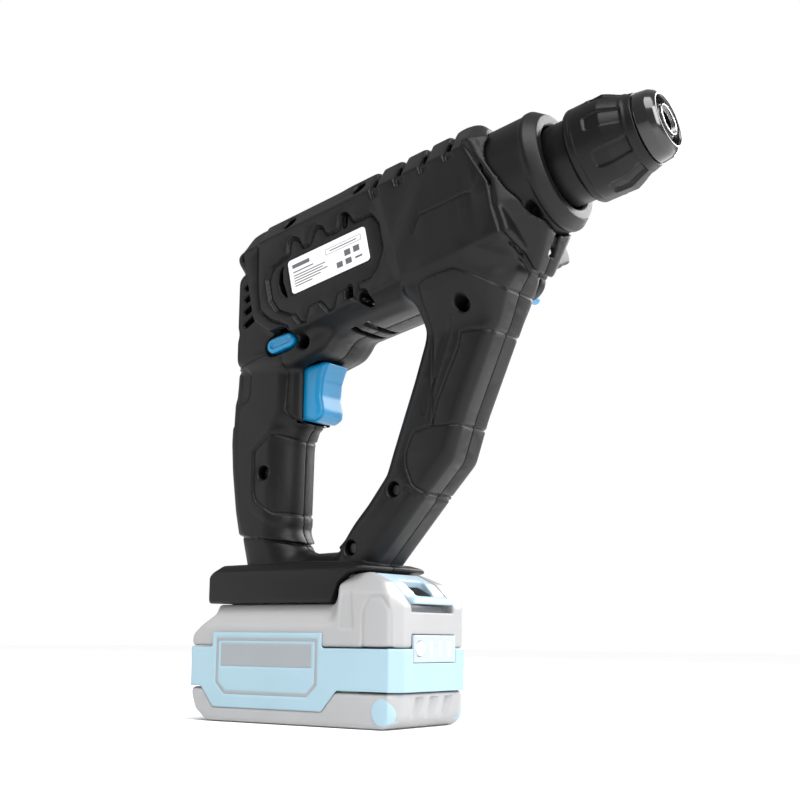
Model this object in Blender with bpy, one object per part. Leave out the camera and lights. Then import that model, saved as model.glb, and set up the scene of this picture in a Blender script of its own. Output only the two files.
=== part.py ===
"""Cordless rotary hammer with a D-shaped frame and a slide-on battery.

Lengths are in millimetres and become metres in the mesh helpers.
+X points from the grip to the chuck, +Y to the tool's left, +Z up.
The battery's flat bottom lies on z = 0.
"""

import math

import bmesh
import bpy
from mathutils import Matrix, Vector

MM = 0.001
GAP = 0.3                      # clearance between neighbouring solids
SEAM = 0.15                    # half the gap along the housing's parting plane
ROUND = 20                     # sides of a round piece
SMALL_ROUND = 10               # sides of a screw, ball or pin
COLLAR_SIDES = 36

# Barrel line: the chuck's front face, and the slope of the spindle's axis
BARREL_TIP = (203.0, 290.9)
BARREL_TILT = math.radians(12.5)

# Housing
BODY_HALF = 30.5
SHIELD_HALF = 34.0
SHOULDER_HALF = 24.0
GRIP_HALF = 17.5
SHOE_HALF = 31.5
WALL = 3.0
COLLAR_R = 32.2
COLLAR_BACK = -88.0
COLLAR_FRONT = -57.5

# Drive train, in the barrel's own frame (u along the axis, v above it)
MODULE = 1.0
SPINDLE_TEETH = 34
OUTPUT_TEETH = 12
COUNTER_TEETH = 24
MOTOR_TEETH = 12
SHAFT_V = -MODULE * (SPINDLE_TEETH + OUTPUT_TEETH) / 2          # countershaft
MOTOR_V = SHAFT_V + MODULE * (COUNTER_TEETH + MOTOR_TEETH) / 2  # motor axis
WOBBLE_U = -156.0                                               # wobble ring's centre

# Battery
BATTERY_HALF = 34.2
BATTERY_BACK = -68.0
BATTERY_FRONT = 70.0
BAND_BOTTOM = 18.0
BAND_TOP = 39.0
CELL_R = 9.15
CELL_LENGTH = 65.0
CELL_SIDES = 12
CELL_HALF_WAY = CELL_LENGTH / 2 + 0.2       # the band's hollow, half its width
CONTACT_PLACES = (-12.0, 0.0, 12.0)         # y of the three contact slots
GAUGE_LOW = 32.3
GAUGE_HIGH = 45.7
GAUGE_HALF = 19.0
GAUGE_BUTTON = (-13.5, 39.0)                # y and z of the button's centre

COLOURS = {
    "black": ((0.022, 0.022, 0.024), 0.55, 0.0),
    "rubber": ((0.016, 0.016, 0.017), 0.75, 0.0),
    "blue": ((0.0, 0.30, 0.62), 0.35, 0.0),
    "steel": ((0.55, 0.55, 0.56), 0.30, 1.0),
    "dark_steel": ((0.08, 0.08, 0.085), 0.35, 1.0),
    "copper": ((0.75, 0.36, 0.18), 0.35, 1.0),
    "label": ((0.80, 0.80, 0.80), 0.45, 0.0),
    "pale_grey": ((0.50, 0.50, 0.50), 0.50, 0.0),
    "pale_blue": ((0.42, 0.67, 0.83), 0.45, 0.0),
    "board": ((0.02, 0.14, 0.06), 0.50, 0.0),
    "lens": ((0.85, 0.87, 0.90), 0.12, 0.0),
    "cell": ((0.12, 0.33, 0.20), 0.40, 0.0),
    "red": ((0.55, 0.03, 0.03), 0.45, 0.0),
}


# ---------------------------------------------------------------- helpers

def clear_scene():
    for thing in list(bpy.data.objects):
        bpy.data.objects.remove(thing, do_unlink=True)


def material(key):
    found = bpy.data.materials.get(key)
    if found:
        return found
    colour, roughness, metallic = COLOURS[key]
    made = bpy.data.materials.new(key)
    made.use_nodes = True
    shader = made.node_tree.nodes["Principled BSDF"]
    shader.inputs["Base Color"].default_value = (*colour, 1.0)
    shader.inputs["Roughness"].default_value = roughness
    shader.inputs["Metallic"].default_value = metallic
    return made


def empty(name, place, tilt=0.0):
    thing = bpy.data.objects.new(name, None)
    thing.location = Vector(place) * MM
    thing.rotation_euler = (0.0, -tilt, 0.0)
    bpy.context.collection.objects.link(thing)
    return thing


def finish_mesh(name, bm, key, parent=None, place=(0.0, 0.0, 0.0), smooth=40.0):
    """Turn a bmesh in millimetres into a named object in metres."""
    bmesh.ops.recalc_face_normals(bm, faces=bm.faces[:])
    bmesh.ops.scale(bm, vec=(MM, MM, MM), verts=bm.verts[:])
    mesh = bpy.data.meshes.new(name)
    bm.to_mesh(mesh)
    bm.free()
    mesh.shade_smooth()
    mesh.set_sharp_from_angle(angle=math.radians(smooth))
    thing = bpy.data.objects.new(name, mesh)
    thing.data.materials.append(material(key))
    thing.location = Vector(place) * MM
    if parent is not None:
        thing.parent = parent
    bpy.context.collection.objects.link(thing)
    return thing


def add_prism(bm, outline, low, high):
    """Extrude an XZ outline along Y from low to high."""
    ring = [bm.verts.new((x, low, z)) for x, z in outline]
    face = bm.faces.new(ring)
    grown = bmesh.ops.extrude_face_region(bm, geom=[face])
    moved = [part for part in grown["geom"] if isinstance(part, bmesh.types.BMVert)]
    bmesh.ops.translate(bm, verts=moved, vec=(0.0, high - low, 0.0))


def prism(name, outline, low, high, key, parent=None):
    bm = bmesh.new()
    add_prism(bm, outline, low, high)
    return finish_mesh(name, bm, key, parent)


def box_outline(x0, z0, x1, z1):
    return [(x0, z0), (x1, z0), (x1, z1), (x0, z1)]


def add_lathe(bm, profile, sides, axis="X", centre=(0.0, 0.0, 0.0), turn=0.0):
    """Turn a closed (along, radius) profile round an axis through centre."""
    first, last = profile[0], profile[-1]
    loop = list(profile)
    tube = first[1] > 0.0 and last[1] > 0.0
    rings = []
    for along, radius in loop:
        count = sides if radius > 0.0 else 1
        ring = []
        for step in range(count):
            angle = turn + 2.0 * math.pi * step / sides
            a, b = radius * math.cos(angle), radius * math.sin(angle)
            place = {"X": (along, a, b), "Y": (a, along, b), "Z": (a, b, along)}[axis]
            ring.append(bm.verts.new(Vector(place) + Vector(centre)))
        rings.append(ring)
    pairs = list(zip(rings, rings[1:]))
    if tube:
        pairs.append((rings[-1], rings[0]))
    for one, two in pairs:
        for step in range(sides):
            corners = [one[step % len(one)], one[(step + 1) % len(one)],
                       two[(step + 1) % len(two)], two[step % len(two)]]
            unique = list(dict.fromkeys(corners))
            if len(unique) > 2:
                bm.faces.new(unique)


def lathe(name, profile, key, parent=None, sides=ROUND, axis="X",
          centre=(0.0, 0.0, 0.0), place=(0.0, 0.0, 0.0)):
    bm = bmesh.new()
    add_lathe(bm, profile, sides, axis, centre)
    return finish_mesh(name, bm, key, parent, place)


def disc(low, high, radius):
    """Profile of a solid cylinder."""
    return [(low, 0.0), (low, radius), (high, radius), (high, 0.0)]


def tube(low, high, inner, outer):
    """Profile of a pipe."""
    return [(low, inner), (low, outer), (high, outer), (high, inner)]


def as_cutter(thing):
    thing.hide_render = True
    thing.display_type = "WIRE"
    return thing


def combine(target, tool, operation, solver="EXACT"):
    """Boolean target with tool, which becomes a hidden guide."""
    as_cutter(tool)
    change = target.modifiers.new(operation.lower(), "BOOLEAN")
    change.operation = operation
    change.solver = solver
    change.object = tool
    return target


def bevel(thing, width, segments=2, angle=50.0):
    change = thing.modifiers.new("edges", "BEVEL")
    change.width = width * MM
    change.segments = segments
    change.limit_method = "ANGLE"
    change.angle_limit = math.radians(angle)
    return thing


def barrel_point(u, v):
    """World (x, z) of a point in the barrel's frame."""
    cos_t, sin_t = math.cos(BARREL_TILT), math.sin(BARREL_TILT)
    return (BARREL_TIP[0] + u * cos_t - v * sin_t, BARREL_TIP[1] + u * sin_t + v * cos_t)


# ---------------------------------------------------------------- outlines

BODY_OUTLINE = [barrel_point(u, v) for u, v in (
    (-247, 33), (-241, 34.5), (-105, 34.5), (-102.5, 36.3), (-98.5, 36.3), (-90, 33),
    (-80, -30), (-80, -43.5), (-204, -43.5), (-232, -38), (-247, -22))]

SHIELD_OUTLINE = [barrel_point(u, v) for u, v in (
    (-112, 33.0), (-103, 36.8), (-98, 36.8), (-89.4, 33.6), (-79.3, -30), (-70.5, -33),
    (-70.5, -40), (-80.7, -49.3), (-93, -48.6), (-112, -30))]

SHOULDER_OUTLINE = [(-60, 192), (-60, 246), (-30, 262), (17, 205.5), (9.6, 197),
                    (4.3, 195), (-12, 190)]

FRAME_OUTER = [
    (-53, 80), (-57.5, 97), (-61, 112), (-64.5, 135), (-66, 152), (-65.2, 180),
    (-64.5, 211), (-63.5, 230), (-61, 243), (-59.5, 249), (-62, 253), (-65.5, 257.5),
    (-66, 262.5), (-63, 267), (-57, 269.5), barrel_point(-240, 33.5),
    barrel_point(-105, 33.5), barrel_point(-90, -47.5), (121.3, 216), (116.9, 203),
    (96.4, 155), (88.6, 132), (72.1, 114.6), (41, 80)]

HAND_GAP = [
    (-12.5, 92), (-17.5, 101), (-17, 125), (-16.5, 149), (-14.5, 155), (-9, 158.5),
    (-9.5, 162), (-9.5, 192), (4, 195.5), (9, 197.5), barrel_point(-203, -43.5),
    barrel_point(-150, -43.5), (70.5, 212), (71.5, 200), (63, 174), (50.3, 139),
    (46.4, 127.5), (35.2, 113), (19.3, 95.7), (11, 90.5), (-6, 90)]

SHOE_OUTLINE = [(-57.5, 61.5), (-57.5, 76), (-51, 82), (10, 83), (36, 82.5), (44, 80.5),
                (44, 78.5), (36.5, 76.5), (30.5, 72), (26, 61.5)]

BODY_HOLLOW = [barrel_point(u, v) for u, v in (
    (-243, 30), (-96, 30), (-84, -30), (-84, -44.5), (-97, -40.5), (-200, -40.5),
    (-230, -35), (-243, -18))]

HANDLE_HOLLOW = [(-49, 76), (-57, 135), (-61.5, 152), (-60, 225), (-24, 225), (-14, 205),
                 (-14, 162), (-21, 152), (-22, 96), (-18, 76)]

ARM_HOLLOW = [(84, 216), (113, 210), (92, 157), (84.5, 134), (69, 118), (40, 85.5),
              (20, 85.5), (40, 111), (51, 126), (68, 174)]

# Screw towers: (x, z, how far out the housing's side is there)
SCREWS = [
    (*barrel_point(-214, 25.7), 29.0), (*barrel_point(-166, 27), 29.0), (-52, 259, 16.0),
    (*barrel_point(-171, -35.5), 29.0), (-1.5, 202, 23.0), (-54, 212, 16.0),
    (98.5, 210, 16.0), (54, 119, 16.0), (27, 90, 16.0), (-33, 133, 16.0)]
HEAD_SEAT = 10.0               # depth plane of the screw heads, |y|


# ---------------------------------------------------------------- housing

def block(name, outline, half, edge=0.0, segments=1):
    """A guide solid, symmetrical about the parting plane."""
    thing = prism(name, outline, -half, half, "black")
    if edge:
        bevel(thing, edge, segments, 60.0)
    return thing


def screw_group(name, profile_of):
    """A group of round posts or stepped holes, one for each housing screw."""
    bm = bmesh.new()
    for x, z, half in SCREWS:
        add_lathe(bm, profile_of(half), SMALL_ROUND, "Y", (x, 0.0, z))
    return finish_mesh(name, bm, "black")


def screw_tower(half):
    return disc(-half, half, 4.6)


def screw_hole(half):
    """A well for the head, then a narrower hole for the shank."""
    return [(-half - 9.0, 0.0), (-half - 9.0, 3.4), (-HEAD_SEAT, 3.4), (-HEAD_SEAT, 1.9),
            (11.0, 1.9), (11.0, 0.0)]


def barrel_lathe(name, profile, v=0.0, sides=ROUND):
    """A turned cutter on an axis parallel to the barrel."""
    return lathe(name, profile, "black", BARREL, sides, centre=(0.0, 0.0, v))


def housing_steps():
    """What is added to and cut from the D-shaped frame, in order."""
    collar_room = disc(COLLAR_BACK - GAP, -40.0, COLLAR_R + GAP + 0.2)
    return (
        (block("hand_gap", HAND_GAP, 40.0), "DIFFERENCE"),
        (block("body", BODY_OUTLINE, BODY_HALF, 7.0, 2), "UNION"),
        (block("shield", SHIELD_OUTLINE, SHIELD_HALF, 6.0), "UNION"),
        (block("shoulder", SHOULDER_OUTLINE, SHOULDER_HALF, 5.0), "UNION"),
        (block("shoe", SHOE_OUTLINE, SHOE_HALF, 3.0), "UNION"),
        (block("body_hollow", BODY_HOLLOW, BODY_HALF - WALL), "DIFFERENCE"),
        (block("handle_hollow", HANDLE_HOLLOW, GRIP_HALF - WALL), "DIFFERENCE"),
        (block("arm_hollow", ARM_HOLLOW, GRIP_HALF - WALL - 0.1), "DIFFERENCE"),
        (block("shoe_hollow", box_outline(-53, 66, 70, 77.3), 24.5), "DIFFERENCE"),
        (block("shoe_slot", box_outline(-52.7, 60, 70, 68), 20.3), "DIFFERENCE"),
        (barrel_lathe("collar_room", collar_room, sides=COLLAR_SIDES), "DIFFERENCE"),
        (barrel_lathe("spindle_way", disc(-99.0, -84.0, 16.7)), "DIFFERENCE"),
        (screw_group("towers", screw_tower), "UNION"),
        (screw_group("screw_holes", screw_hole), "DIFFERENCE"),
        (prism("label_seat", LABEL_SEAT, -40.0, -BODY_HALF + 0.9, "black"), "DIFFERENCE"),
        (prism("button_way", BUTTON_WAY, -40.0, 40.0, "black"), "DIFFERENCE"),
        (lathe("knob_way", [(14.0, 0.0), (14.0, 5.6), (27.3, 5.6), (27.3, KNOB_R + GAP),
                            (40.0, KNOB_R + GAP), (40.0, 0.0)], "black", axis="Y",
               centre=(KNOB_PLACE[0], 0.0, KNOB_PLACE[1])), "DIFFERENCE"),
        (prism("trigger_way", TRIGGER_WAY, -11.3, 11.3, "black"), "DIFFERENCE"),
        (prism("lamp_way", LAMP_WAY, -3.3, 3.3, "black"), "DIFFERENCE"),
    )


def housing():
    """Two clamshells: barrel body, grip, front arm and battery shoe in each."""
    steps = housing_steps()
    outline = box_outline(-120, 0, 260, 400)
    for name, low, high in (("right_housing", -SEAM, 60.0), ("left_housing", -60.0, SEAM)):
        shell = prism(name, FRAME_OUTER, -GRIP_HALF, GRIP_HALF, "black")
        bevel(shell, 5.0, 2, 60.0)
        for tool, operation in steps:
            combine(shell, tool, operation, "MANIFOLD")
        half = prism(name + "_other_side", outline, low, high, "black")
        combine(shell, half, "DIFFERENCE", "MANIFOLD")


def fasteners():
    for number, (x, z, _half) in enumerate(SCREWS, 1):
        profile = [(-12.6, 0.0), (-12.6, 2.6), (-12.2, 3.0), (-HEAD_SEAT - GAP, 3.0),
                   (-HEAD_SEAT - GAP, 1.5), (9.0, 1.5), (10.2, 0.0)]
        lathe("housing_screw_%02d" % number, profile, "dark_steel", sides=SMALL_ROUND,
              axis="Y", place=(x, 0.0, z))


# ---------------------------------------------------------------- controls

TRIGGER_OUTLINE = [
    (-12.5, 163.5), (-11, 161.5), (-3, 160), (1.5, 162.5), (2, 167), (0.4, 174),
    (1.2, 183), (3.5, 189), (5.5, 192.2), (2, 193.2), (-8, 192), (-12.5, 190.5)]
TRIGGER_WAY = [(-30, 158.5), (-6, 158.5), (0, 161), (0, 195), (-30, 195)]
LABEL_OUTLINE = [barrel_point(u, v) for u, v in (
    (-216, 2), (-162.5, 2), (-162.5, -17.8), (-216, -17.8))]
LABEL_SEAT = [barrel_point(u, v) for u, v in (
    (-216.4, 2.4), (-162.1, 2.4), (-162.1, -18.2), (-216.4, -18.2))]
BUTTON_CENTRE = barrel_point(-234, -38)
KNOB_PLACE = barrel_point(-107, -37)
KNOB_R = 11.5
LAMP_PLACE = barrel_point(-80.5, -38.8)


def pill(centre, length, height, steps=6):
    """A rounded bar outline lying along the barrel's slope."""
    points = []
    for end in (1, -1):
        for step in range(steps + 1):
            angle = (-math.pi / 2 if end > 0 else math.pi / 2) + math.pi * step / steps
            along = end * (length - height) / 2 + height / 2 * math.cos(angle)
            across = height / 2 * math.sin(angle)
            cos_t, sin_t = math.cos(BARREL_TILT), math.sin(BARREL_TILT)
            points.append((centre[0] + along * cos_t - across * sin_t,
                           centre[1] + along * sin_t + across * cos_t))
    return points


BUTTON_WAY = pill(BUTTON_CENTRE, 19.6, 8.6)
LAMP_WAY = [(LAMP_PLACE[0] - 9, LAMP_PLACE[1] - 3.3), (LAMP_PLACE[0] + 12, LAMP_PLACE[1] - 3.3),
            (LAMP_PLACE[0] + 12, LAMP_PLACE[1] + 3.3), (LAMP_PLACE[0] - 9, LAMP_PLACE[1] + 3.3)]


def controls():
    trigger = prism("trigger", TRIGGER_OUTLINE, -10.8, 10.8, "blue")
    bevel(trigger, 2.2, 2, 40.0)
    stem = prism("trigger_stem", box_outline(-19.5, 172, -11, 184), -4.0, 4.0, "blue")
    combine(trigger, stem, "UNION")
    prism("switch_module", [(-54, 166), (-21, 166), (-21, 171.5), (-28.5, 171.5),
                            (-28.5, 184.5), (-21, 184.5), (-21, 190), (-54, 190)],
          -9.0, 9.0, "rubber")
    spring("trigger_spring", (-28.2, 0.0, 178.0), (-19.8, 0.0, 178.0), 2.6, 0.45, 3.5)
    bar = prism("direction_button", pill(BUTTON_CENTRE, 19.0, 8.0), -25.5, 25.5, "blue")
    bevel(bar, 0.8, 1, 40.0)
    knob = lathe("mode_knob", [(18.0, 0.0), (18.0, 5.0), (27.6, 5.0), (27.6, KNOB_R - 0.8),
                               (33.0, KNOB_R - 1.6), (34.0, KNOB_R - 2.8), (34.0, 0.0)],
                 "blue", axis="Y", place=(KNOB_PLACE[0], 0.0, KNOB_PLACE[1]))
    wing = prism("knob_wing", box_outline(-3.2, -11.2, 3.2, 11.2), 31.0, 42.0, "blue", knob)
    bevel(wing, 1.5, 2, 40.0)
    combine(knob, wing, "UNION")
    prism("rating_label", LABEL_OUTLINE, -BODY_HALF + 0.1, -BODY_HALF + 0.6, "label")
    lathe("work_light", [(-7.0, 0.0), (-7.0, 2.4), (3.2, 2.4), (4.6, 1.4), (4.9, 0.0)], "lens",
          sides=SMALL_ROUND, place=(LAMP_PLACE[0], 0.0, LAMP_PLACE[1]))


def spring(name, start, end, radius, wire, turns, parent=None, key="steel", sides=6):
    """A coil spring between two points, as one closed tube."""
    start, end = Vector(start), Vector(end)
    along = (end - start).normalized()
    side = along.orthogonal().normalized()
    up = along.cross(side)
    length = (end - start).length - 2 * wire
    steps = int(turns * 10)
    bm = bmesh.new()
    rings = []
    for step in range(steps + 1):
        part = step / steps
        angle = 2 * math.pi * turns * part
        out = side * math.cos(angle) + up * math.sin(angle)
        centre = start + along * (wire + length * part) + out * radius
        ring = []
        for corner in range(sides):
            turn = 2 * math.pi * corner / sides
            ring.append(bm.verts.new(centre + out * wire * math.cos(turn)
                                     + along * wire * math.sin(turn)))
        rings.append(ring)
    for one, two in zip(rings, rings[1:]):
        for corner in range(sides):
            bm.faces.new((one[corner], one[(corner + 1) % sides],
                          two[(corner + 1) % sides], two[corner]))
    bm.faces.new(rings[0])
    bm.faces.new(rings[-1])
    return finish_mesh(name, bm, key, parent)


# ---------------------------------------------------------------- drive train

def gear(name, teeth, low, high, bore, v, phase, parent):
    """Spur gear on a barrel-parallel axis; phase 0 puts a tooth straight up."""
    pitch = MODULE * teeth / 2
    step = 2 * math.pi / teeth
    outline = []
    for tooth in range(teeth):
        for part, radius in ((-0.27, pitch - 1.15), (-0.10, pitch + 0.85),
                             (0.10, pitch + 0.85), (0.27, pitch - 1.15)):
            angle = phase + (tooth + part) * step
            outline.append((radius * math.sin(angle), radius * math.cos(angle)))
    inner = []
    for corner in range(teeth * 2):
        angle = phase + (corner + 0.5) * step / 2 - step / 4
        inner.append((bore * math.sin(angle), bore * math.cos(angle)))
    bm = bmesh.new()
    sides = []
    for along in (low, high):
        sides.append(([bm.verts.new((along, y, z)) for y, z in outline],
                      [bm.verts.new((along, y, z)) for y, z in inner]))
    (near_out, near_in), (far_out, far_in) = sides
    for near, far in ((near_out, far_out), (near_in, far_in)):
        for here in range(len(near)):
            there = (here + 1) % len(near)
            bm.faces.new((near[here], near[there], far[there], far[here]))
    for out, hole in ((near_out, near_in), (far_out, far_in)):
        for tooth in range(teeth):
            first, second = hole[2 * tooth], hole[(2 * tooth + 1) % len(hole)]
            third = hole[(2 * tooth + 2) % len(hole)]
            a, b, c, d = out[4 * tooth:4 * tooth + 4]
            after = out[(4 * tooth + 4) % len(out)]
            bm.faces.new((a, b, c, d))
            bm.faces.new((first, a, d, second))
            bm.faces.new((second, d, after, third))
    return finish_mesh(name, bm, "steel", parent, (0.0, 0.0, v), smooth=30.0)


def turned(name, profile, key, v=0.0, sides=ROUND, parent=None):
    """A turned piece on an axis parallel to the barrel, v above it."""
    return lathe(name, profile, key, parent or BARREL, sides, place=(0.0, 0.0, v))


def spindle_group():
    turned("spindle", [(-146, 15), (-92, 15), (-92, 12), (-62, 12), (-62, 10), (-3, 10),
                       (-1.5, 8.5), (-1.5, 5.1), (-70, 5.1), (-70, 6.6), (-97, 6.6),
                       (-97, 11.2), (-146, 11.2)], "steel")
    spindle = bpy.data.objects["spindle"]
    pocket = lathe("ball_pockets", disc(-12.0, 12.0, 3.5), "black", BARREL, SMALL_ROUND, "Y",
                   place=(-34.0, 0.0, 0.0))
    combine(spindle, pocket, "DIFFERENCE")
    for number, side in enumerate((-1, 1), 1):
        bm = bmesh.new()
        bmesh.ops.create_uvsphere(bm, u_segments=SMALL_ROUND, v_segments=8, radius=3.1)
        finish_mesh("locking_ball_%d" % number, bm, "steel", BARREL, (-34.0, 8.7 * side, 0.0))
    gear("spindle_gear", SPINDLE_TEETH, -112.0, -104.0, 15.3, 0.0, 0.0, BARREL)
    turned("spindle_bearing", tube(-86.5, -77.5, 12.3, 22.0), "steel")
    turned("spindle_bush", tube(-145.0, -137.0, 15.3, 19.0), "copper")
    turned("impact_bolt", [(-99, 0), (-99, 5), (-97.5, 6.2), (-75, 6.2), (-72, 4.6),
                           (-70.5, 4.6), (-70.5, 0)], "steel")
    turned("striker", [(-127, 0), (-127, 9), (-125.5, 10.8), (-111, 10.8), (-109.5, 7),
                       (-104, 7), (-103, 6), (-103, 0)], "dark_steel")


def chuck_group():
    turned("chuck_ring", [(-60, 20.4), (-59, 21.3), (-50, 21.5), (-46.3, 21.3),
                          (-46.3, 10.3), (-60, 10.3)], "black", sides=32)
    sleeve = turned("chuck_sleeve", [
        (-46, 21.9), (-46, 23.6), (-44.3, 25.0), (-26.5, 25.0), (-15.5, 20.0), (-11.3, 19.2),
        (-11.3, 10.6), (-17.5, 10.6), (-17.5, 16.0), (-26.0, 21.9)], "rubber", sides=32)
    grooves = bmesh.new()
    for step in range(8):
        angle = math.radians(22.5 + 45.0 * step)
        turn = Matrix.Rotation(angle, 3, "X")
        scoop = bmesh.ops.create_cube(grooves, size=1.0)["verts"]
        bmesh.ops.scale(grooves, vec=(24.0, 7.0, 6.0), verts=scoop)
        bmesh.ops.translate(grooves, vec=(-27.0, 0.0, 26.6), verts=scoop)
        bmesh.ops.rotate(grooves, cent=(0, 0, 0), matrix=turn, verts=scoop)
    combine(sleeve, finish_mesh("sleeve_flutes", grooves, "black", BARREL), "DIFFERENCE")
    turned("dust_cap", [(-11, 10.4), (-11, 18.4), (-4, 17.6), (-1.5, 15.7), (0, 14.4),
                        (0, 12.6), (-1.2, 11.6), (-1.2, 10.4)], "rubber", sides=32)
    spring("chuck_spring", (-46.0, 0.0, 0.0), (-18.0, 0.0, 0.0), 13.3, 0.8, 4.5, BARREL)
    turned("nose_collar", [(COLLAR_BACK, 22.3), (COLLAR_BACK, COLLAR_R), (-60, COLLAR_R),
                           (-58.2, COLLAR_R - 0.9), (COLLAR_FRONT, COLLAR_R - 2.4),
                           (COLLAR_FRONT, 23.5), (-59, 22.3)], "black", sides=COLLAR_SIDES)


def gearbox_group():
    turned("countershaft", [(-190, 0), (-190, 3.5), (WOBBLE_U - 5, 3.5), (WOBBLE_U - 4, 7.5),
                            (WOBBLE_U + 4, 7.5), (WOBBLE_U + 5, 3.5), (-93, 3.5), (-93, 0)],
           "steel", SHAFT_V)
    gear("counter_gear", COUNTER_TEETH, -184.5, -178.0, 3.8, SHAFT_V, 0.0, BARREL)
    gear("output_pinion", OUTPUT_TEETH, -113.0, -103.0, 3.8, SHAFT_V,
         math.pi / OUTPUT_TEETH, BARREL)
    turned("countershaft_bearing", tube(-99.0, -93.5, 3.8, 7.5), "steel", SHAFT_V)
    ring = turned("wobble_ring", tube(-4.0, 4.0, 9.2, 11.6), "dark_steel", SHAFT_V)
    ring.location.x = WOBBLE_U * MM
    finger = lathe("wobble_finger", disc(10.4, -SHAFT_V + 3.0, 2.4), "dark_steel", ring,
                   SMALL_ROUND, "Z")
    combine(ring, finger, "UNION")
    head = turned("piston", disc(-144.5, -134.5, 10.8), "steel")
    tail = prism("piston_tail", box_outline(WOBBLE_U - 8, -7, -143, 7), -7.5, 7.5, "steel",
                 BARREL)
    combine(head, tail, "UNION")
    socket = lathe("piston_socket", disc(-12.0, 5.0, 4.7), "steel", BARREL, SMALL_ROUND, "Z",
                   place=(WOBBLE_U, 0.0, 0.0))
    combine(head, socket, "DIFFERENCE")
    plate = prism("gear_plate", box_outline(-189.0, -38, -186.5, 26), -25.0, 25.0, "steel",
                  BARREL)
    for hole, v, radius in (("shaft_hole", SHAFT_V, 3.8), ("motor_hole", MOTOR_V, 4.0)):
        combine(plate, barrel_lathe("plate_" + hole, disc(-195, -180, radius), v), "DIFFERENCE")


def motor_group():
    gear("motor_pinion", MOTOR_TEETH, -185.0, -177.5, 2.5, MOTOR_V,
         math.pi / MOTOR_TEETH, BARREL)
    turned("armature", [(-242, 0), (-242, 2.2), (-236, 2.2), (-236, 9), (-226, 9), (-226, 15.5),
                        (-204, 15.5), (-204, 2.2), (-176.5, 2.2), (-176.5, 0)],
           "copper", MOTOR_V)
    turned("motor_can", [(-240.5, 2.6), (-240.5, 20.5), (-199.5, 20.5), (-199.5, 12),
                         (-201.5, 12), (-201.5, 17), (-238.5, 17), (-238.5, 2.6)],
           "dark_steel", MOTOR_V)
    fan = turned("cooling_fan", tube(-192.2, -190.6, 2.6, 18.5), "rubber", MOTOR_V)
    blades = bmesh.new()
    for step in range(9):
        turn = Matrix.Rotation(2 * math.pi * step / 9, 3, "X")
        blade = bmesh.ops.create_cube(blades, size=1.0)["verts"]
        bmesh.ops.scale(blades, vec=(5.5, 1.4, 11.0), verts=blade)
        bmesh.ops.translate(blades, vec=(-194.6, 0.0, 12.2), verts=blade)
        bmesh.ops.rotate(blades, cent=(0, 0, 0), matrix=turn, verts=blade)
    combine(fan, finish_mesh("fan_blades", blades, "rubber", BARREL, (0, 0, MOTOR_V)), "UNION")


# ---------------------------------------------------------------- battery

def tray(name, outline, half, key, edge, hollow, depth):
    """A battery casing: an XZ outline with an open hollow."""
    case = bevel(prism(name, outline, -half, half, key), edge, 2, 30.0)
    combine(case, prism(name + "_hollow", hollow, -depth, depth, key), "DIFFERENCE")
    return case


def battery_case():
    tray("battery_lower", [(BATTERY_BACK + 0.5, BAND_BOTTOM - GAP), (-63, 6), (-55, 0), (61, 0),
                           (67, 6), (BATTERY_FRONT - 0.8, BAND_BOTTOM - GAP)],
         BATTERY_HALF - 0.6, "pale_grey", 3.0,
         [(-58, 25), (-58, 8), (-52, 2), (58, 2), (63, 8), (63, 25)], CELL_LENGTH / 2 - 0.4)
    band_corner = [(-BATTERY_HALF + 7, BATTERY_FRONT), (BATTERY_HALF - 7, BATTERY_FRONT),
                   (BATTERY_HALF, 64.6), (BATTERY_HALF, -65), (BATTERY_HALF - 3, BATTERY_BACK),
                   (3 - BATTERY_HALF, BATTERY_BACK), (-BATTERY_HALF, -65), (-BATTERY_HALF, 64.6)]
    bm = bmesh.new()
    ring = [bm.verts.new((x, y, BAND_BOTTOM)) for y, x in band_corner]
    grown = bmesh.ops.extrude_face_region(bm, geom=[bm.faces.new(ring)])
    moved = [part for part in grown["geom"] if isinstance(part, bmesh.types.BMVert)]
    bmesh.ops.translate(bm, verts=moved, vec=(0, 0, BAND_TOP - BAND_BOTTOM))
    band = finish_mesh("battery_band", bm, "pale_blue")
    core = prism("band_core", box_outline(-63, 10, 65, 50), -CELL_HALF_WAY, CELL_HALF_WAY,
                 "black")
    combine(band, core, "DIFFERENCE")
    upper = tray("battery_upper", [
        (-67.5, BAND_TOP + GAP), (-67.5, 44), (-52.5, 56), (-52.5, 61), (26.6, 61),
        (31.2, 71.8), (37, 76.3), (46, 77), (57, 72), (63, 66), (69, 60),
        (69.4, BAND_TOP + GAP)], 33.6, "pale_grey", 4.0,
        [(-60, 30), (-60, 43), (-48, 53), (-48, 57.5), (60, 57.5), (64, 50), (64, 30)], 29.5)
    rail = prism("rail_neck", box_outline(-50, 58, 34, 76.5), -19.7, 19.7, "pale_grey")
    head = prism("rail_head", box_outline(-50, 68.6, 34, 76.4), -23.9, 23.9, "pale_grey")
    combine(upper, rail, "UNION")
    combine(upper, head, "UNION")
    slots = bmesh.new()
    for y in CONTACT_PLACES:
        slot = bmesh.ops.create_cube(slots, size=1.0)["verts"]
        bmesh.ops.scale(slots, vec=(24.0, 2.4, 9.0), verts=slot)
        bmesh.ops.translate(slots, vec=(-44.0, y, 74.0), verts=slot)
    combine(upper, finish_mesh("contact_slots", slots, "black"), "DIFFERENCE")
    well = prism("latch_well", [(47.5, 60.5), (61, 60.5), (63, 57), (80, 57), (80, 90), (42.5, 90),
                                (42.5, 69)], -19.0, 19.0, "black")
    combine(upper, well, "DIFFERENCE")
    seat = prism("gauge_seat", box_outline(67.6, GAUGE_LOW - GAP, 80, GAUGE_HIGH + GAP),
                 -GAUGE_HALF - GAP, GAUGE_HALF + GAP, "black")
    combine(upper, seat, "DIFFERENCE")
    combine(band, seat, "DIFFERENCE")


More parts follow.
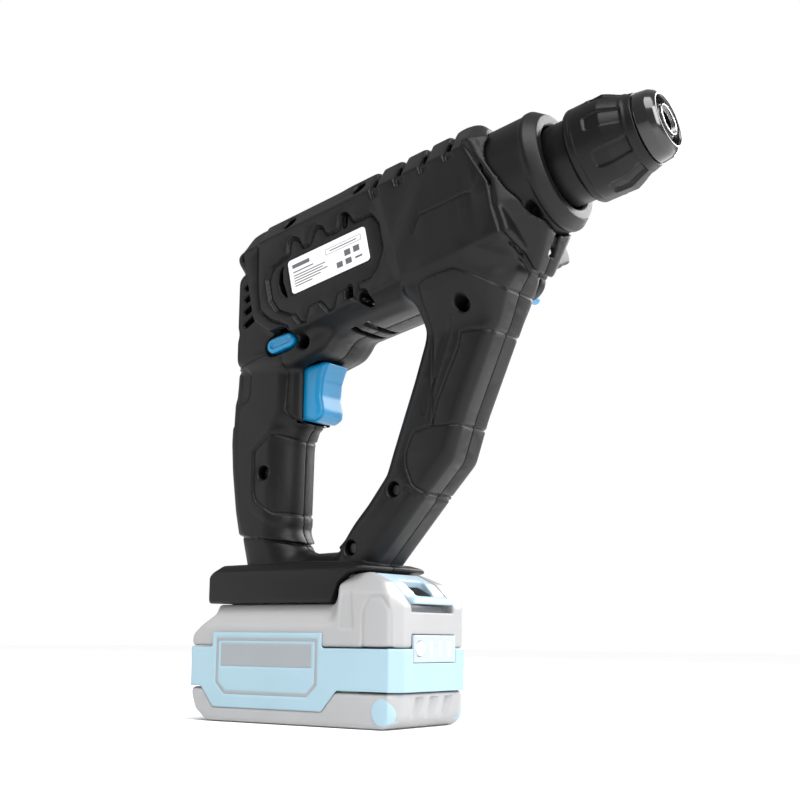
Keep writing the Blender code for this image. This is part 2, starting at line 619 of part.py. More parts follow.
def battery_inside():
    web = prism("cell_pack", box_outline(-50, 4.0, 48, 38.0), -1.2, 1.2, "cell")
    bm = bmesh.new()
    for row in range(2):
        for column in range(5):
            centre = (-41.0 + 20.0 * column, 0.0, 11.4 + 18.5 * row)
            half = CELL_LENGTH / 2 - (1.2 if row == 0 else 0.3)
            add_lathe(bm, disc(-half, half, CELL_R), CELL_SIDES, "Y", centre)
    combine(web, finish_mesh("cells", bm, "cell"), "UNION")
    prism("protection_board", box_outline(-46, 45.2, 44, 46.8), -24.0, 24.0, "board")
    pins = prism("terminal_block", box_outline(-52.5, 66.5, -50.5, 77), -19.5, 19.5, "black")
    blades = bmesh.new()
    for y in CONTACT_PLACES:
        blade = bmesh.ops.create_cube(blades, size=1.0)["verts"]
        bmesh.ops.scale(blades, vec=(18.0, 0.9, 5.5), verts=blade)
        bmesh.ops.translate(blades, vec=(-43.0, y, 73.6), verts=blade)
    combine(pins, finish_mesh("terminal_blades", blades, "copper"), "UNION")


def battery_trim():
    latch = prism("battery_latch", [(43.3, 73.4), (43.3, 76.4), (46.5, 76.7), (57, 71.8),
                                    (65, 64.6), (70, 64), (70, 61.2), (66, 60.9), (60, 66),
                                    (48.5, 71.5)], -18.6, 18.6, "pale_blue")
    scoop = prism("latch_scoop", [(53, 69.5), (62, 62.5), (66, 68), (56, 78)], -10.0, 10.0,
                  "pale_blue")
    bevel(scoop, 1.5, 2, 40.0)
    combine(latch, scoop, "DIFFERENCE")
    spring("latch_spring", (52.0, 0.0, 60.8), (52.0, 0.0, 67.6), 2.6, 0.45, 3.0)
    gauge = prism("charge_gauge", box_outline(67.9, GAUGE_LOW, 69.9, GAUGE_HIGH),
                  -GAUGE_HALF, GAUGE_HALF, "pale_grey")
    bevel(gauge, 0.6, 1)
    button_way = lathe("gauge_button_way", disc(60.0, 80.0, 3.9), "black",
                       centre=(0.0, *GAUGE_BUTTON))
    combine(gauge, button_way, "DIFFERENCE")
    lathe("gauge_button", [(68.2, 0.0), (68.2, 3.6), (70.2, 3.6), (70.7, 3.0), (70.7, 0.0)],
          "pale_grey", place=(0.0, *GAUGE_BUTTON))


def leads():
    for name, y, key in (("power_lead_red", -6.0, "red"), ("power_lead_black", 6.0, "rubber")):
        path = [(-36, y, 79.5), (-38, y, 95), (-41, y, 120), (-43, y, 145), (-42, y, 165.6)]
        curve = bpy.data.curves.new(name, "CURVE")
        curve.dimensions = "3D"
        curve.bevel_depth = 1.4 * MM
        curve.bevel_resolution = 2
        curve.use_fill_caps = True
        line = curve.splines.new("POLY")
        line.points.add(len(path) - 1)
        for point, place in zip(line.points, path):
            point.co = (*(Vector(place) * MM), 1.0)
        thing = bpy.data.objects.new(name, curve)
        curve.materials.append(material(key))
        bpy.context.collection.objects.link(thing)


clear_scene()
BARREL = empty("barrel_line", (BARREL_TIP[0], 0.0, BARREL_TIP[1]), BARREL_TILT)
housing()
fasteners()
controls()
spindle_group()
chuck_group()
gearbox_group()
motor_group()
battery_case()
battery_inside()
battery_trim()
leads()
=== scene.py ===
"""Looks of a cordless rotary hammer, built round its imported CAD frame.

Shapes are worked out in millimetres and become metres when a mesh is made.
+X points from the grip to the chuck, +Y to the tool's left, +Z up.  The barrel
has its own frame: u runs along the spindle from the chuck's front face, and v
stands square to it.
"""

import math

import bmesh
import bpy
import numpy as np
from mathutils import Matrix, Vector


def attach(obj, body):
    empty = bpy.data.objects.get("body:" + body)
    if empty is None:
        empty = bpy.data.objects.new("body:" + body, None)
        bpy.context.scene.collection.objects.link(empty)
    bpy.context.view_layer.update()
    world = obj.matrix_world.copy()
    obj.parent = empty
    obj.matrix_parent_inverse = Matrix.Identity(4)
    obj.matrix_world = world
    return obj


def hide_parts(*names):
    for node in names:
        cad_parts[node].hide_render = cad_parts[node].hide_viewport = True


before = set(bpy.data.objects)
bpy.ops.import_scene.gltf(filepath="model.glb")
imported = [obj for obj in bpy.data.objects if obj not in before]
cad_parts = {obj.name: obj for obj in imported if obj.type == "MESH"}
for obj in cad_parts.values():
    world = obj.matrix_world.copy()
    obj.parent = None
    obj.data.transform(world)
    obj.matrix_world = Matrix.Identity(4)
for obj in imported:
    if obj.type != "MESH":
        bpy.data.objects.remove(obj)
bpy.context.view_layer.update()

MM = 0.001
BARREL_TIP = (203.0, 290.9)
BARREL_TILT = math.radians(12.5)
COS_T, SIN_T = math.cos(BARREL_TILT), math.sin(BARREL_TILT)
FINE = 0.6          # grid step of the housing's field
SMALL_FINE = 0.45   # grid step of the small controls
SEAM = 0.06                                # half the gap on the parting plane
INNER = -5.0                               # depth past the parting plane, for cuts
OUTSIDE = 60.0                             # depth past every outer face, for cuts

SHIELD_HALF = 34.0
SHELL_WALL = 3.4
GRIP_HALF = 17.5
SHOE_HALF = 31.5
COLLAR_R = 32.2


# ---- fields

def along_barrel(x, z):
    """Barrel coordinates (u, v) of world (x, z)."""
    dx, dz = x - BARREL_TIP[0], z - BARREL_TIP[1]
    return dx * COS_T + dz * SIN_T, dz * COS_T - dx * SIN_T


def barrel_point(u, v):
    """World (x, z) of barrel (u, v)."""
    return (BARREL_TIP[0] + u * COS_T - v * SIN_T, BARREL_TIP[1] + u * SIN_T + v * COS_T)


class Grid:
    """An even grid with open axes, so that flat maps stay two-dimensional."""

    def __init__(self, low, high, step):
        self.low = np.array(low, dtype=np.float64)
        self.step = step
        x, y, z = (np.arange(a, b + step, step, dtype=np.float32) for a, b in zip(low, high))
        self.x = x[:, None, None]
        self.y = y[None, :, None]
        self.z = z[None, None, :]
        self.u, self.v = along_barrel(self.x, self.z)


def polygon(a, b, points):
    """Signed distance in the plane of a and b to an outline, negative inside."""
    shape = np.broadcast(a, b).shape
    nearest = np.full(shape, 1e12, np.float32)
    inside = np.zeros(shape, bool)
    for (a0, b0), (a1, b1) in zip(points, points[1:] + points[:1]):
        da, db = a1 - a0, b1 - b0
        part = np.clip(((a - a0) * da + (b - b0) * db) / (da * da + db * db), 0.0, 1.0)
        nearest = np.minimum(nearest, (a - a0 - part * da) ** 2 + (b - b0 - part * db) ** 2)
        if db:
            inside ^= ((b0 > b) != (b1 > b)) & (a < a0 + (b - b0) * da / db)
    return np.where(inside, -1.0, 1.0) * np.sqrt(nearest)


def circle(a, b, centre, radius):
    return np.hypot(a - centre[0], b - centre[1]) - radius


def bar(a, b, start, end, radius):
    """Signed distance to a stadium between two points."""
    da, db = end[0] - start[0], end[1] - start[1]
    part = np.clip(((a - start[0]) * da + (b - start[1]) * db) / (da * da + db * db), 0.0, 1.0)
    return np.hypot(a - start[0] - part * da, b - start[1] - part * db) - radius


def soften(flat, step, size):
    """Gaussian blur of a flat map, which rounds an outline's corners."""
    reach = max(1, int(2.5 * size / step))
    offsets = np.arange(-reach, reach + 1)
    weights = np.exp(-0.5 * (offsets * step / size) ** 2)
    weights /= weights.sum()
    for axis in (0, 2):
        pad = [(0, 0)] * 3
        pad[axis] = (reach, reach)
        wide = np.pad(flat, pad, mode="edge")
        flat = sum(w * np.take(wide, np.arange(flat.shape[axis]) + reach + int(o), axis)
                   for w, o in zip(weights, offsets))
    return flat.astype(np.float32)


def ramp(value):
    """Smooth step from 0 to 1 as value goes from -0.5 to 0.5."""
    value = np.clip(value + 0.5, 0.0, 1.0)
    return value * value * (3.0 - 2.0 * value)


def inside_of(flat, width=1.4):
    """1 inside an outline and 0 outside it, with an edge of this width."""
    return ramp(-flat / width)


def line_at(flat, width=1.3):
    """1 along an outline and 0 away from it."""
    return 1.0 - ramp((np.abs(flat) - 0.5 * width) / (0.6 * width))


def slab(flat, across, radius):
    """An outline drawn through a thickness, with a rounded rim."""
    a, b = flat + radius, across + radius
    return (np.minimum(np.maximum(a, b), 0.0)
            + np.hypot(np.maximum(a, 0.0), np.maximum(b, 0.0)) - radius)


def joined(one, two, size=1.0):
    """Union with a fillet of this size."""
    mix = np.clip(0.5 + 0.5 * (two - one) / size, 0.0, 1.0)
    return two * (1.0 - mix) + one * mix - size * mix * (1.0 - mix)


def less(one, two, size=0.6):
    """What is left of one when two is cut away."""
    return -joined(-one, two, size)


def height(half, grid):
    """Distance to the side wall y = half(x, z), corrected for its slope."""
    half = np.broadcast_to(half, np.broadcast(grid.x, grid.z).shape)
    slope = np.zeros(half.shape, np.float32)
    for axis in (0, 2):
        slope += np.gradient(half, grid.step, axis=axis) ** 2
    return (grid.y - half) / np.sqrt(1.0 + slope)


def window(flat, margin=3.0):
    """Index of the smallest block that holds a flat outline."""
    near = flat < margin
    rows = np.nonzero(near.any(axis=(1, 2)))[0]
    columns = np.nonzero(near.any(axis=(0, 1)))[0]
    return np.s_[rows[0]:rows[-1] + 1, :, columns[0]:columns[-1] + 1]


def bore(field, grid, flat, low, high, radius=0.3, size=0.5):
    """Cut an outline from field between two depths."""
    part = window(flat)
    across = np.abs(grid.y - (low + high) / 2) - (high - low) / 2
    field[part] = less(field[part], slab(flat[part], across, radius), size)


EDGES = [((0, 0, 0), 0), ((0, 1, 0), 0), ((0, 0, 1), 0), ((0, 1, 1), 0),
         ((0, 0, 0), 1), ((1, 0, 0), 1), ((0, 0, 1), 1), ((1, 0, 1), 1),
         ((0, 0, 0), 2), ((1, 0, 0), 2), ((0, 1, 0), 2), ((1, 1, 0), 2)]


def skin(field, grid):
    """Vertices in millimetres and quads of the surface where field is zero."""
    below = field < 0.0
    count = np.zeros([n - 1 for n in field.shape], np.uint8)
    for i in (0, 1):
        for j in (0, 1):
            for k in (0, 1):
                count += below[i:field.shape[0] - 1 + i, j:field.shape[1] - 1 + j,
                               k:field.shape[2] - 1 + k]
    cells = np.argwhere((count > 0) & (count < 8))
    number = np.full(count.shape, -1, np.int64)
    number[tuple(cells.T)] = np.arange(len(cells))
    total = np.zeros((len(cells), 3))
    hits = np.zeros(len(cells))
    for corner, axis in EDGES:
        start = cells + corner
        end = start.copy()
        end[:, axis] += 1
        one, two = field[tuple(start.T)], field[tuple(end.T)]
        crossed = (one < 0.0) != (two < 0.0)
        part = np.where(crossed, one / np.where(crossed, one - two, 1.0), 0.0)
        place = np.array(corner, float) + np.zeros((len(cells), 3))
        place[:, axis] += part
        total += place * crossed[:, None]
        hits += crossed
    points = (cells + total / hits[:, None]) * grid.step + grid.low
    quads = []
    for axis in range(3):
        one = np.take(below, np.arange(field.shape[axis] - 1), axis)
        two = np.take(below, np.arange(1, field.shape[axis]), axis)
        edges = np.argwhere(one != two)
        p, q = (axis + 1) % 3, (axis + 2) % 3
        edges = edges[(edges[:, p] > 0) & (edges[:, q] > 0)
                      & (edges[:, p] < count.shape[p]) & (edges[:, q] < count.shape[q])]
        ring = []
        for back_p, back_q in ((1, 1), (0, 1), (0, 0), (1, 0)):
            cell = edges.copy()
            cell[:, p] -= back_p
            cell[:, q] -= back_q
            ring.append(number[tuple(cell.T)])
        quad = np.stack(ring, axis=1)
        outwards = one[tuple(edges.T)]
        quad[~outwards] = quad[~outwards][:, ::-1]
        quads.append(quad)
    return points, np.concatenate(quads)


def linked(name, data):
    """A new object in the scene."""
    thing = bpy.data.objects.new(name, data)
    bpy.context.collection.objects.link(thing)
    return thing


def linked_mesh(name, bm):
    """A new object in the scene, made of an edited mesh."""
    mesh = bpy.data.meshes.new(name)
    bm.to_mesh(mesh)
    bm.free()
    return linked(name, mesh)


def piece_from_field(name, field, grid, side=1, keep=0.3):
    """Mesh object of a field; side -1 mirrors it to the tool's right."""
    points, quads = skin(field, grid)
    points = points * (1.0, side, 1.0) * MM
    if side < 0:
        quads = quads[:, ::-1]
    mesh = bpy.data.meshes.new(name)
    mesh.vertices.add(len(points))
    mesh.vertices.foreach_set("co", points.astype(np.float32).ravel())
    mesh.loops.add(quads.size)
    mesh.loops.foreach_set("vertex_index", quads.astype(np.int32).ravel())
    mesh.polygons.add(len(quads))
    mesh.polygons.foreach_set("loop_start", np.arange(0, quads.size, 4, dtype=np.int32))
    mesh.update(calc_edges=True)
    mesh.validate()
    thing = linked(name, mesh)
    if keep < 1.0:
        thin = thing.modifiers.new("thin", "DECIMATE")
        thin.ratio = keep
        apply_modifiers(thing)
    thing.data.shade_smooth()
    return thing


def apply_modifiers(thing):
    graph = bpy.context.evaluated_depsgraph_get()
    graph.update()
    mesh = bpy.data.meshes.new_from_object(thing.evaluated_get(graph))
    old = thing.data
    thing.modifiers.clear()
    thing.data = mesh
    bpy.data.meshes.remove(old)


# ---- housing outlines

def barrel_outline(points):
    return [barrel_point(u, v) for u, v in points]


BODY_OUTLINE = barrel_outline([
    (-247, 33), (-241, 35.3), (-182, 35.3), (-176, 36.4), (-105, 36.4), (-102, 36.8),
    (-98, 36.8), (-90, 33.5), (-80, -30), (-80, -43.5), (-204, -43.5), (-232, -38), (-247, -22)])

SHIELD_OUTLINE = barrel_outline([
    (-104, 36.8), (-98, 36.8), (-90, 33.6), (-80, 16.4), (-69.5, -0.5), (-67, -12.6), (-67.5, -30),
    (-70, -34), (-76, -43), (-81.3, -50.4), (-86, -51), (-88, -30), (-87, -20), (-86, -6),
    (-95, 18), (-101, 26), (-104, 30)])
# Rear edge of the shield's front facet, as u at each v
FACET_V = (-50, -30, -20, -6, 18, 25, 40)
FACET_U = (-81, -81.5, -82.5, -82, -91, -92, -94)

SHOULDER_OUTLINE = [(-54, 192), (-54, 246), (-30, 262), (17, 205.5), (9.6, 197), (4.3, 195),
                    (-12, 190)]

FRAME_OUTER = [
    (-49, 64), (-52, 80), (-56.5, 97), (-60, 112), (-63.3, 135), (-64.6, 152), (-63.4, 180),
    (-62.2, 211), (-61.5, 230), (-60, 243), (-59.5, 249), (-62, 253), (-65.5, 257.5),
    (-66, 262.5), (-63, 267), (-57, 269.5), barrel_point(-240, 34), barrel_point(-105, 33.5),
    barrel_point(-90, -47.5), (120, 216), (115.6, 203), (95, 155), (87.3, 132),
    (71, 114.6), (40, 80), (33, 75.5), (25, 64)]

HAND_GAP = [
    (-12.5, 92), (-17.5, 101), (-17, 125), (-16.5, 149), (-14.5, 155), (-9, 158.5),
    (-9.5, 162), (-9.5, 192), (4, 195.5), (9, 197.5), barrel_point(-203, -43.5),
    barrel_point(-150, -43.5), (71.5, 212), (72.5, 200), (64, 174), (51.3, 139),
    (47.4, 127.5), (36, 113), (19.8, 95.7), (11, 90.5), (-6, 90)]

SHOE_OUTLINE = [(-57.5, 61.5), (-57.5, 76), (-51, 82), (10, 83), (36, 82.5), (44, 80.5),
                (44, 78.5), (36.5, 76.5), (30.5, 72), (26, 61.5)]

BODY_HOLLOW = barrel_outline([(-243, 30), (-96, 30), (-84, -30), (-84, -44.5), (-97, -40.5),
                              (-200, -40.5), (-230, -35), (-243, -18)])
HANDLE_HOLLOW = [(-46.5, 76), (-55.5, 135), (-58, 152), (-56, 225), (-24, 225), (-14, 205),
                 (-14, 162), (-21, 152), (-22, 96), (-18, 76)]
ARM_HOLLOW = [(84, 216), (113, 210), (92, 157), (84.5, 134), (69, 118), (40, 85.5),
              (20, 85.5), (40, 111), (51, 126), (68, 174)]

# Label bay on the side of the barrel: an octagon with three teeth above and below
BAY = barrel_outline([
    (-214.5, 5.5), (-226.5, 2.5), (-231, -3.5), (-231, -15.5), (-227.5, -23), (-219.5, -28.5),
    (-217, -29), (-214, -35), (-209.5, -35.8), (-205.5, -28.2), (-198.5, -28.2),
    (-194.5, -35.6), (-189.5, -35.2), (-186, -28), (-180, -28), (-176.5, -36), (-172.5, -35),
    (-172, -27.5), (-164, -28), (-158.5, -24), (-153.3, -15.5), (-153.2, -0.5), (-157, 6.5),
    (-168.5, 6.5), (-171.5, 12.8), (-176.5, 13.3), (-179.3, 6.2), (-187, 6.5), (-188.5, 11.8),
    (-192.4, 13.8), (-196, 11.5), (-199.5, 6), (-203.7, 6), (-205.6, 11.6), (-209.3, 14),
    (-212.5, 12.2)])
BODY_EDGE = [(-235, 38), (-233, 20), (-236.4, 3.2), (-238.2, -7.6), (-238.8, -18.8),
             (-232.8, -26.3), (-222, -33.5), (-219, -48), (-300, -48), (-300, 38)]
LABEL = [(-216, -17.8), (-162.5, -17.8), (-162.5, 2.0), (-216, 2.0)]
SIDE_PANEL = barrel_outline([(-127.5, -7.5), (-98.7, -7.5), (-94.9, -9), (-90.3, -18), (-87, -38),
                             (-84, -60), (-134, -60), (-148, -36)])
RIB_GAPS = (-154.0, -138.0, -122.0, -106.5)
ARM_INSET = [(113, 196.4), (94.6, 196.9), (93.4, 189.5), (80.9, 162.7), (77.8, 151.2),
             (76.3, 149.7), (67.1, 147.9), (65.2, 146), (61.5, 136.7), (62, 130), (65.9, 120.9),
             (83, 108), (130, 140), (130, 196)]
GRIP_INSET = [(-22, 153), (-27.5, 154.5), (-39.5, 145.5), (-38.8, 122), (-37, 117.5),
              (-26, 110.6), (0, 108.6), (0, 143), (-4, 146)]
GUARD_LINE = [(-17.4, 205), (-17.2, 189.5), (-18.7, 167.3), (-12.8, 160.6), (-6, 155.5), (6, 151),
              (30, 151), (30, 205)]

SCREWS = [
    barrel_point(-214, 25.7), barrel_point(-166, 27), (-52, 259), barrel_point(-171, -35.5),
    (-1.5, 202), (-54, 212), (98.5, 210), (54, 119), (27, 90), (-33, 133)]
SCREW_HOLE_R = 1.9
SCREW_WELL_R = 3.3
SCREW_RIM_R = 4.6
SCREW_TOWER_R = 4.8
HEAD_SEAT = 10.3                           # depth of the seat under a screw's head
BUTTON_CENTRE = barrel_point(-234, -38)
KNOB_PLACE = barrel_point(-107, -37)
KNOB_R = 11.5
LAMP_PLACE = barrel_point(-80.5, -38.8)
COLLAR_POCKET = barrel_point(-71.5, -24)
TRIGGER_WAY = [(-30, 160), (-6, 160), (0, 161), (0, 195), (-30, 195)]


# ---- housing

def carve(field, flat, depth, width=1.1):
    """Cut a fine line of this depth along an outline, over every face it meets."""
    part = window(np.abs(flat), 3.0)
    field[part] += depth * line_at(flat[part], width)


def sink(field, flat, depth, width=1.2):
    """Lower the surface inside an outline by this depth."""
    part = window(flat, 3.0)
    field[part] += depth * inside_of(flat[part], width)


def side_of_body(grid):
    """Half width of the barrel housing at each (x, z)."""
    u, v = grid.u, grid.v
    crease = (u + 137.0) + (v + 4.6) * -0.70
    half = 31.9 + 0.9 * ramp((u + 150.0 + 0.1 * v) / 4.0) + 0.7 * ramp(crease / 12.0)
    half = half + 0.4 * ramp((u + 108) / 26.0)
    upper = 15.2 + (37.0 - v) * 0.95
    lower = 15.0 + (v + 43.5) * 2.4
    return soften(np.minimum(np.minimum(half, upper), lower), grid.step, 1.0)


def barrel_body(grid):
    """The motor and gearbox part of the housing."""
    outline = soften(polygon(grid.x, grid.z, BODY_OUTLINE), grid.step, 1.4)
    body = slab(outline, height(side_of_body(grid), grid), 3.0)
    for place in RIB_GAPS:
        gap = np.abs(grid.u - place + 0.12 * (grid.v - 30)) - 2.2
        part = window(gap, 4.0)
        low = 14.0 - grid.v[part]
        groove = np.maximum(np.maximum(gap[part] * 0.8, -(body[part] + 2.4)), low)
        body[part] = less(body[part], groove, 1.4)
    return body


def grip_frame(grid):
    """The D-shaped frame: rear grip, front arm and the foot between them."""
    outer = polygon(grid.x, grid.z, FRAME_OUTER)
    gap = polygon(grid.x, grid.z, HAND_GAP)
    outline = soften(np.maximum(outer, -gap), grid.step, 1.6)
    below = 96.0 - 0.13 * (grid.x + 30) - grid.z
    outline = outline + 1.3 * ramp(below / 1.2) * ramp((20.0 - grid.x) / 8.0)
    arm = ramp((grid.x - 20.0) / 20.0)
    half = GRIP_HALF - 1.0 * arm - 1.3 * ramp(below / 1.2) * ramp((20.0 - grid.x) / 8.0)
    rear = bar(grid.x, grid.z, (-52.0, 180.0), (-52.0, 190.0), 8.0)
    flare = ramp((grid.v + 54.0) / 28.0) * ramp((-26.0 - grid.v) / 12.0)
    flare = flare * ramp((-100.0 - grid.u) / 22.0) * ramp((grid.x - 64.0) / 14.0)
    half = soften(half + 14.0 * flare - 1.6 * inside_of(rear, 2.5), grid.step, 0.6)
    towards_gap = ramp((outer - gap) / 10.0)
    radius = 15.5 * (1.0 - arm) + arm * (15.5 - 8.5 * (1.0 - towards_gap))
    guard = soften(polygon(grid.x, grid.z, GUARD_LINE), grid.step, 2.0)
    guard = inside_of(guard, 4.0) * (1.0 - arm)
    radius = radius - 10.5 * guard
    half = half - 2.0 * guard
    return slab(outline, height(half, grid), radius.astype(np.float32))


def shield_part(grid):
    """The flared front ring of the housing with the chin below it."""
    outline = soften(polygon(grid.x, grid.z, SHIELD_OUTLINE), grid.step, 1.0)
    edge = np.interp(grid.v, FACET_V, FACET_U).astype(np.float32)
    half = np.minimum(SHIELD_HALF, 14.0 + (37.5 - grid.v) * 1.15)
    half = np.minimum(half, 9.0 + (grid.v + 50.5) * 0.8)
    past = grid.u - edge
    half = half - 0.85 * np.maximum(past, 0.0)
    half = np.maximum(half, 7.0)
    return slab(outline, height(soften(half, grid.step, 0.9), grid), 2.2)


def shoe_part(grid):
    """The foot that the battery slides into."""
    outline = soften(polygon(grid.x, grid.z, SHOE_OUTLINE), grid.step, 0.8)
    half = SHOE_HALF - 3.4 * ramp((grid.z - 80.0) / 5.0)
    return slab(outline, height(half, grid), 2.0)


def only(flat, where):
    """An outline's distance in one region, and too far off to leave a mark elsewhere."""
    return np.where(where, flat, 9.0).astype(np.float32)


def surface_details(field, grid):
    """Panel lines, sunk panels and steps on the outside of the shells."""
    x, z, u, v = grid.x, grid.z, grid.u, grid.v
    body_edge = soften(polygon(u, v, BODY_EDGE), grid.step, 0.8)
    on_body = (v > -41.0) & (u < -140)
    part = only(body_edge, on_body)
    sink(field, part, 1.2)
    carve(field, part, 1.3, 1.3)
    bay = soften(polygon(x, z, BAY), grid.step, 0.5)
    sink(field, bay, 1.9, 1.0)
    carve(field, bay, 1.3, 1.3)
    panel = soften(polygon(x, z, SIDE_PANEL), grid.step, 0.8)
    on_side = (v < -4.0) & (v > -40.0) & (u < -95.5) & (u > -134)
    panel = only(panel, on_side)
    carve(field, panel, 0.7, 1.2)
    edge = np.interp(v, FACET_V, FACET_U).astype(np.float32)
    step = only((u - edge + 2.4) * 0.92, (v < 24.0) & (v > -53.0))
    depth = ramp((16.0 - v) / 20.0)
    near = window(np.abs(step), 3.0)
    field[near] += (1.6 * depth * line_at(step, 2.2))[near]
    for inset in (ARM_INSET, GRIP_INSET):
        flat = soften(polygon(x, z, inset), grid.step, 0.7)
        carve(field, flat, 0.9, 1.1)
        sink(field, flat, 0.35, 1.0)
    ridge = soften(polygon(x, z, GRIP_RIDGE), grid.step, 1.2)
    field[window(ridge)] -= 0.5 * inside_of(ridge, 3.0)[window(ridge)]
    guard = soften(polygon(x, z, GUARD_LINE), grid.step, 0.6)
    guard = only(guard, (x < 6.0) & (z < 196.0))
    carve(field, guard, 0.9, 1.1)
    rear = soften(polygon(x, z, REAR_INSET), grid.step, 0.6)
    sink(field, rear, 0.6, 1.0)
    carve(field, rear, 0.6, 1.0)
    collar = np.abs(z - (96.0 - 0.13 * (x + 30)))
    collar = only(collar, (x < 8.0) & (z < 104))
    carve(field, collar, 0.7, 1.0)
    arm_seam = soften(polygon(x, z, ARM_SEAM), grid.step, 0.6)
    arm_seam = only(arm_seam, (v < -34.0) & (x > 76))
    carve(field, arm_seam, 0.8, 1.1)
    low_seam = bar(x, z, (62.5, 119.5), (84.0, 106.5), 0.1)
    carve(field, low_seam, 0.7, 1.1)
    groove = bar(x, z, (90.0, 204.0), (72.8, 157.0), 0.8)
    sink(field, groove, 1.2, 3.0)


GRIP_RIDGE = [(-20, 158), (-31, 158), (-43.5, 147), (-43, 119), (-40, 112), (-26, 104), (0, 104),
              (0, 150)]
REAR_INSET = [(-70, 205), (-55.5, 202), (-52, 196), (-52.5, 176), (-57, 162), (-70, 158)]
ARM_SEAM = [(78, 221), (84, 223.5), (91, 225), (98.9, 226.2), (107, 223.2), (116, 218.5),
            (134, 209), (134, 150), (78, 150)]


def voids(field, grid):
    """Room inside the shells for the works, less the screw towers, and the battery's slot."""
    rooms = slab(polygon(grid.x, grid.z, BODY_HOLLOW),
                 height(np.minimum(side_of_body(grid) - SHELL_WALL, 25.6), grid), 2.0)
    for outline, half, radius in ((HANDLE_HOLLOW, 12.2, 9.0), (ARM_HOLLOW, 11.5, 4.0)):
        flat = polygon(grid.x, grid.z, outline)
        rooms = np.minimum(rooms, slab(flat + 1.0, grid.y - half, radius))
    for screw in SCREWS:
        flat = circle(grid.x, grid.z, screw, SCREW_TOWER_R)
        part = window(flat)
        rooms[part] = np.maximum(rooms[part], -flat[part])
    field[:] = np.maximum(field, -rooms)
    for low, high, reach in ((66, 77.3, 24.5), (50, 68, 20.3)):
        flat = polygon(grid.x, grid.z, [(-53, low), (70, low), (70, high), (-53, high)])
        bore(field, grid, flat, -60.0, reach)


def barrel_bore(field, grid, u0, u1, radius):
    """Cut a round room on the spindle's axis."""
    across = np.hypot(grid.v, grid.y) - radius
    along = np.abs(grid.u - (u0 + u1) / 2) - (u1 - u0) / 2
    field[:] = less(field, np.maximum(across, along), 0.4)


def screw_places(field, grid, wells):
    """Holes for the housing screws, with open wells on the side they go in from."""
    for screw in SCREWS:
        from_axis = circle(grid.x, grid.z, screw, 0.0)
        bore(field, grid, from_axis - SCREW_HOLE_R, INNER, 12.0)
        if wells:
            bore(field, grid, from_axis - SCREW_WELL_R, HEAD_SEAT, OUTSIDE, 0.2, 0.9)
            sink(field, from_axis - SCREW_RIM_R, 0.5, 1.0)


def vents(field, grid):
    """Air slots: at the rear of the motor, beside the label and underneath."""
    for z in (240.8, 234.0, 227.0, 219.4):
        slot = bar(grid.x, grid.z, (-43.8, z - 2.4), (-38.0, z + 1.2), 1.7)
        bore(field, grid, slot, 11.0, OUTSIDE, 0.2, 0.7)
    curved = [(-217.5, 3), (-223, -2), (-224.6, -8), (-223.5, -14), (-219.5, -19), (-220.5, -13),
              (-221.3, -8), (-220.5, -2)]
    slot = soften(polygon(grid.u, grid.v, curved), grid.step, 0.5)
    bore(field, grid, slot, 25.0, OUTSIDE, 0.2, 0.5)
    for u0, v0, v1 in ((-175.0, 7.5, 12.4), (-179.6, -32.5, -27.5)):
        slot = bar(grid.u, grid.v, (u0, v0), (u0 + 1.2, v1), 1.8)
        bore(field, grid, slot, 22.0, OUTSIDE, 0.2, 0.5)
    for u in (-191.0, -182.5):
        across = np.abs(grid.u - u) - 1.9
        deep = np.maximum(np.maximum(across, np.abs(grid.v + 44.0) - 4.0), grid.y - 14.5)
        part = window(np.maximum(np.abs(grid.u - u), np.abs(grid.v + 44.0)) - 5.0, 3.0)
        field[part] = less(field[part], deep[part], 0.5)


def housing_half(name, side):
    """One shell; side is 1 for the tool's left and -1 for its right."""
    grid = Grid((-70.5, -1.4, 58.5), (150.0, 37.0, 312.0), FINE)
    fillet = 2.5 + 5.0 * ramp((grid.x - 76.0) / 16.0) * ramp((-28.0 - grid.v) / 10.0)
    field = joined(grip_frame(grid), barrel_body(grid), fillet)
    tail = soften(polygon(grid.x, grid.z, SHOULDER_OUTLINE), grid.step, 2.0)
    field = joined(field, slab(tail, grid.y - 23.6, 7.0), 4.0)
    field = joined(field, shield_part(grid), 1.4)
    field = joined(field, shoe_part(grid), 1.2)
    surface_details(field, grid)
    voids(field, grid)
    barrel_bore(field, grid, -88.3, -30.0, COLLAR_R + 0.4)
    barrel_bore(field, grid, -99.0, -84.0, 16.7)
    screw_places(field, grid, side < 0)
    vents(field, grid)
    pill = bar(grid.x, grid.z, *pill_ends(BUTTON_CENTRE, 19.6, 8.6), 4.3)
    bore(field, grid, pill, INNER, OUTSIDE, 0.2, 0.6)
    bore(field, grid, pill - 1.7, 20.5, OUTSIDE, 0.4, 0.7)
    trigger_way = polygon(grid.x, grid.z, TRIGGER_WAY)
    bore(field, grid, trigger_way, INNER, 11.3, 0.4)
    lamp_x, lamp_z = LAMP_PLACE
    lamp = bar(grid.x, grid.z, (lamp_x - 6, lamp_z), (lamp_x + 22, lamp_z), 2.7)
    bore(field, grid, lamp, INNER, 2.7, 0.4, 0.8)
    slot = bar(grid.u, grid.v, (-70.0, -34.0), (-74.5, -41.0), 2.2)
    bore(field, grid, slot, INNER, 2.2, 0.8, 0.8)
    if side > 0:
        bore(field, grid, circle(grid.x, grid.z, KNOB_PLACE, 5.7), 14.0, OUTSIDE)
        bore(field, grid, circle(grid.x, grid.z, KNOB_PLACE, KNOB_R + 0.4), 27.2, OUTSIDE)
    else:
        bore(field, grid, polygon(grid.u, grid.v, LABEL) - 0.4, 29.8, OUTSIDE, 0.1, 0.3)
    field = np.maximum(field, SEAM - grid.y)
    return piece_from_field(name, field, grid, side, 0.16)


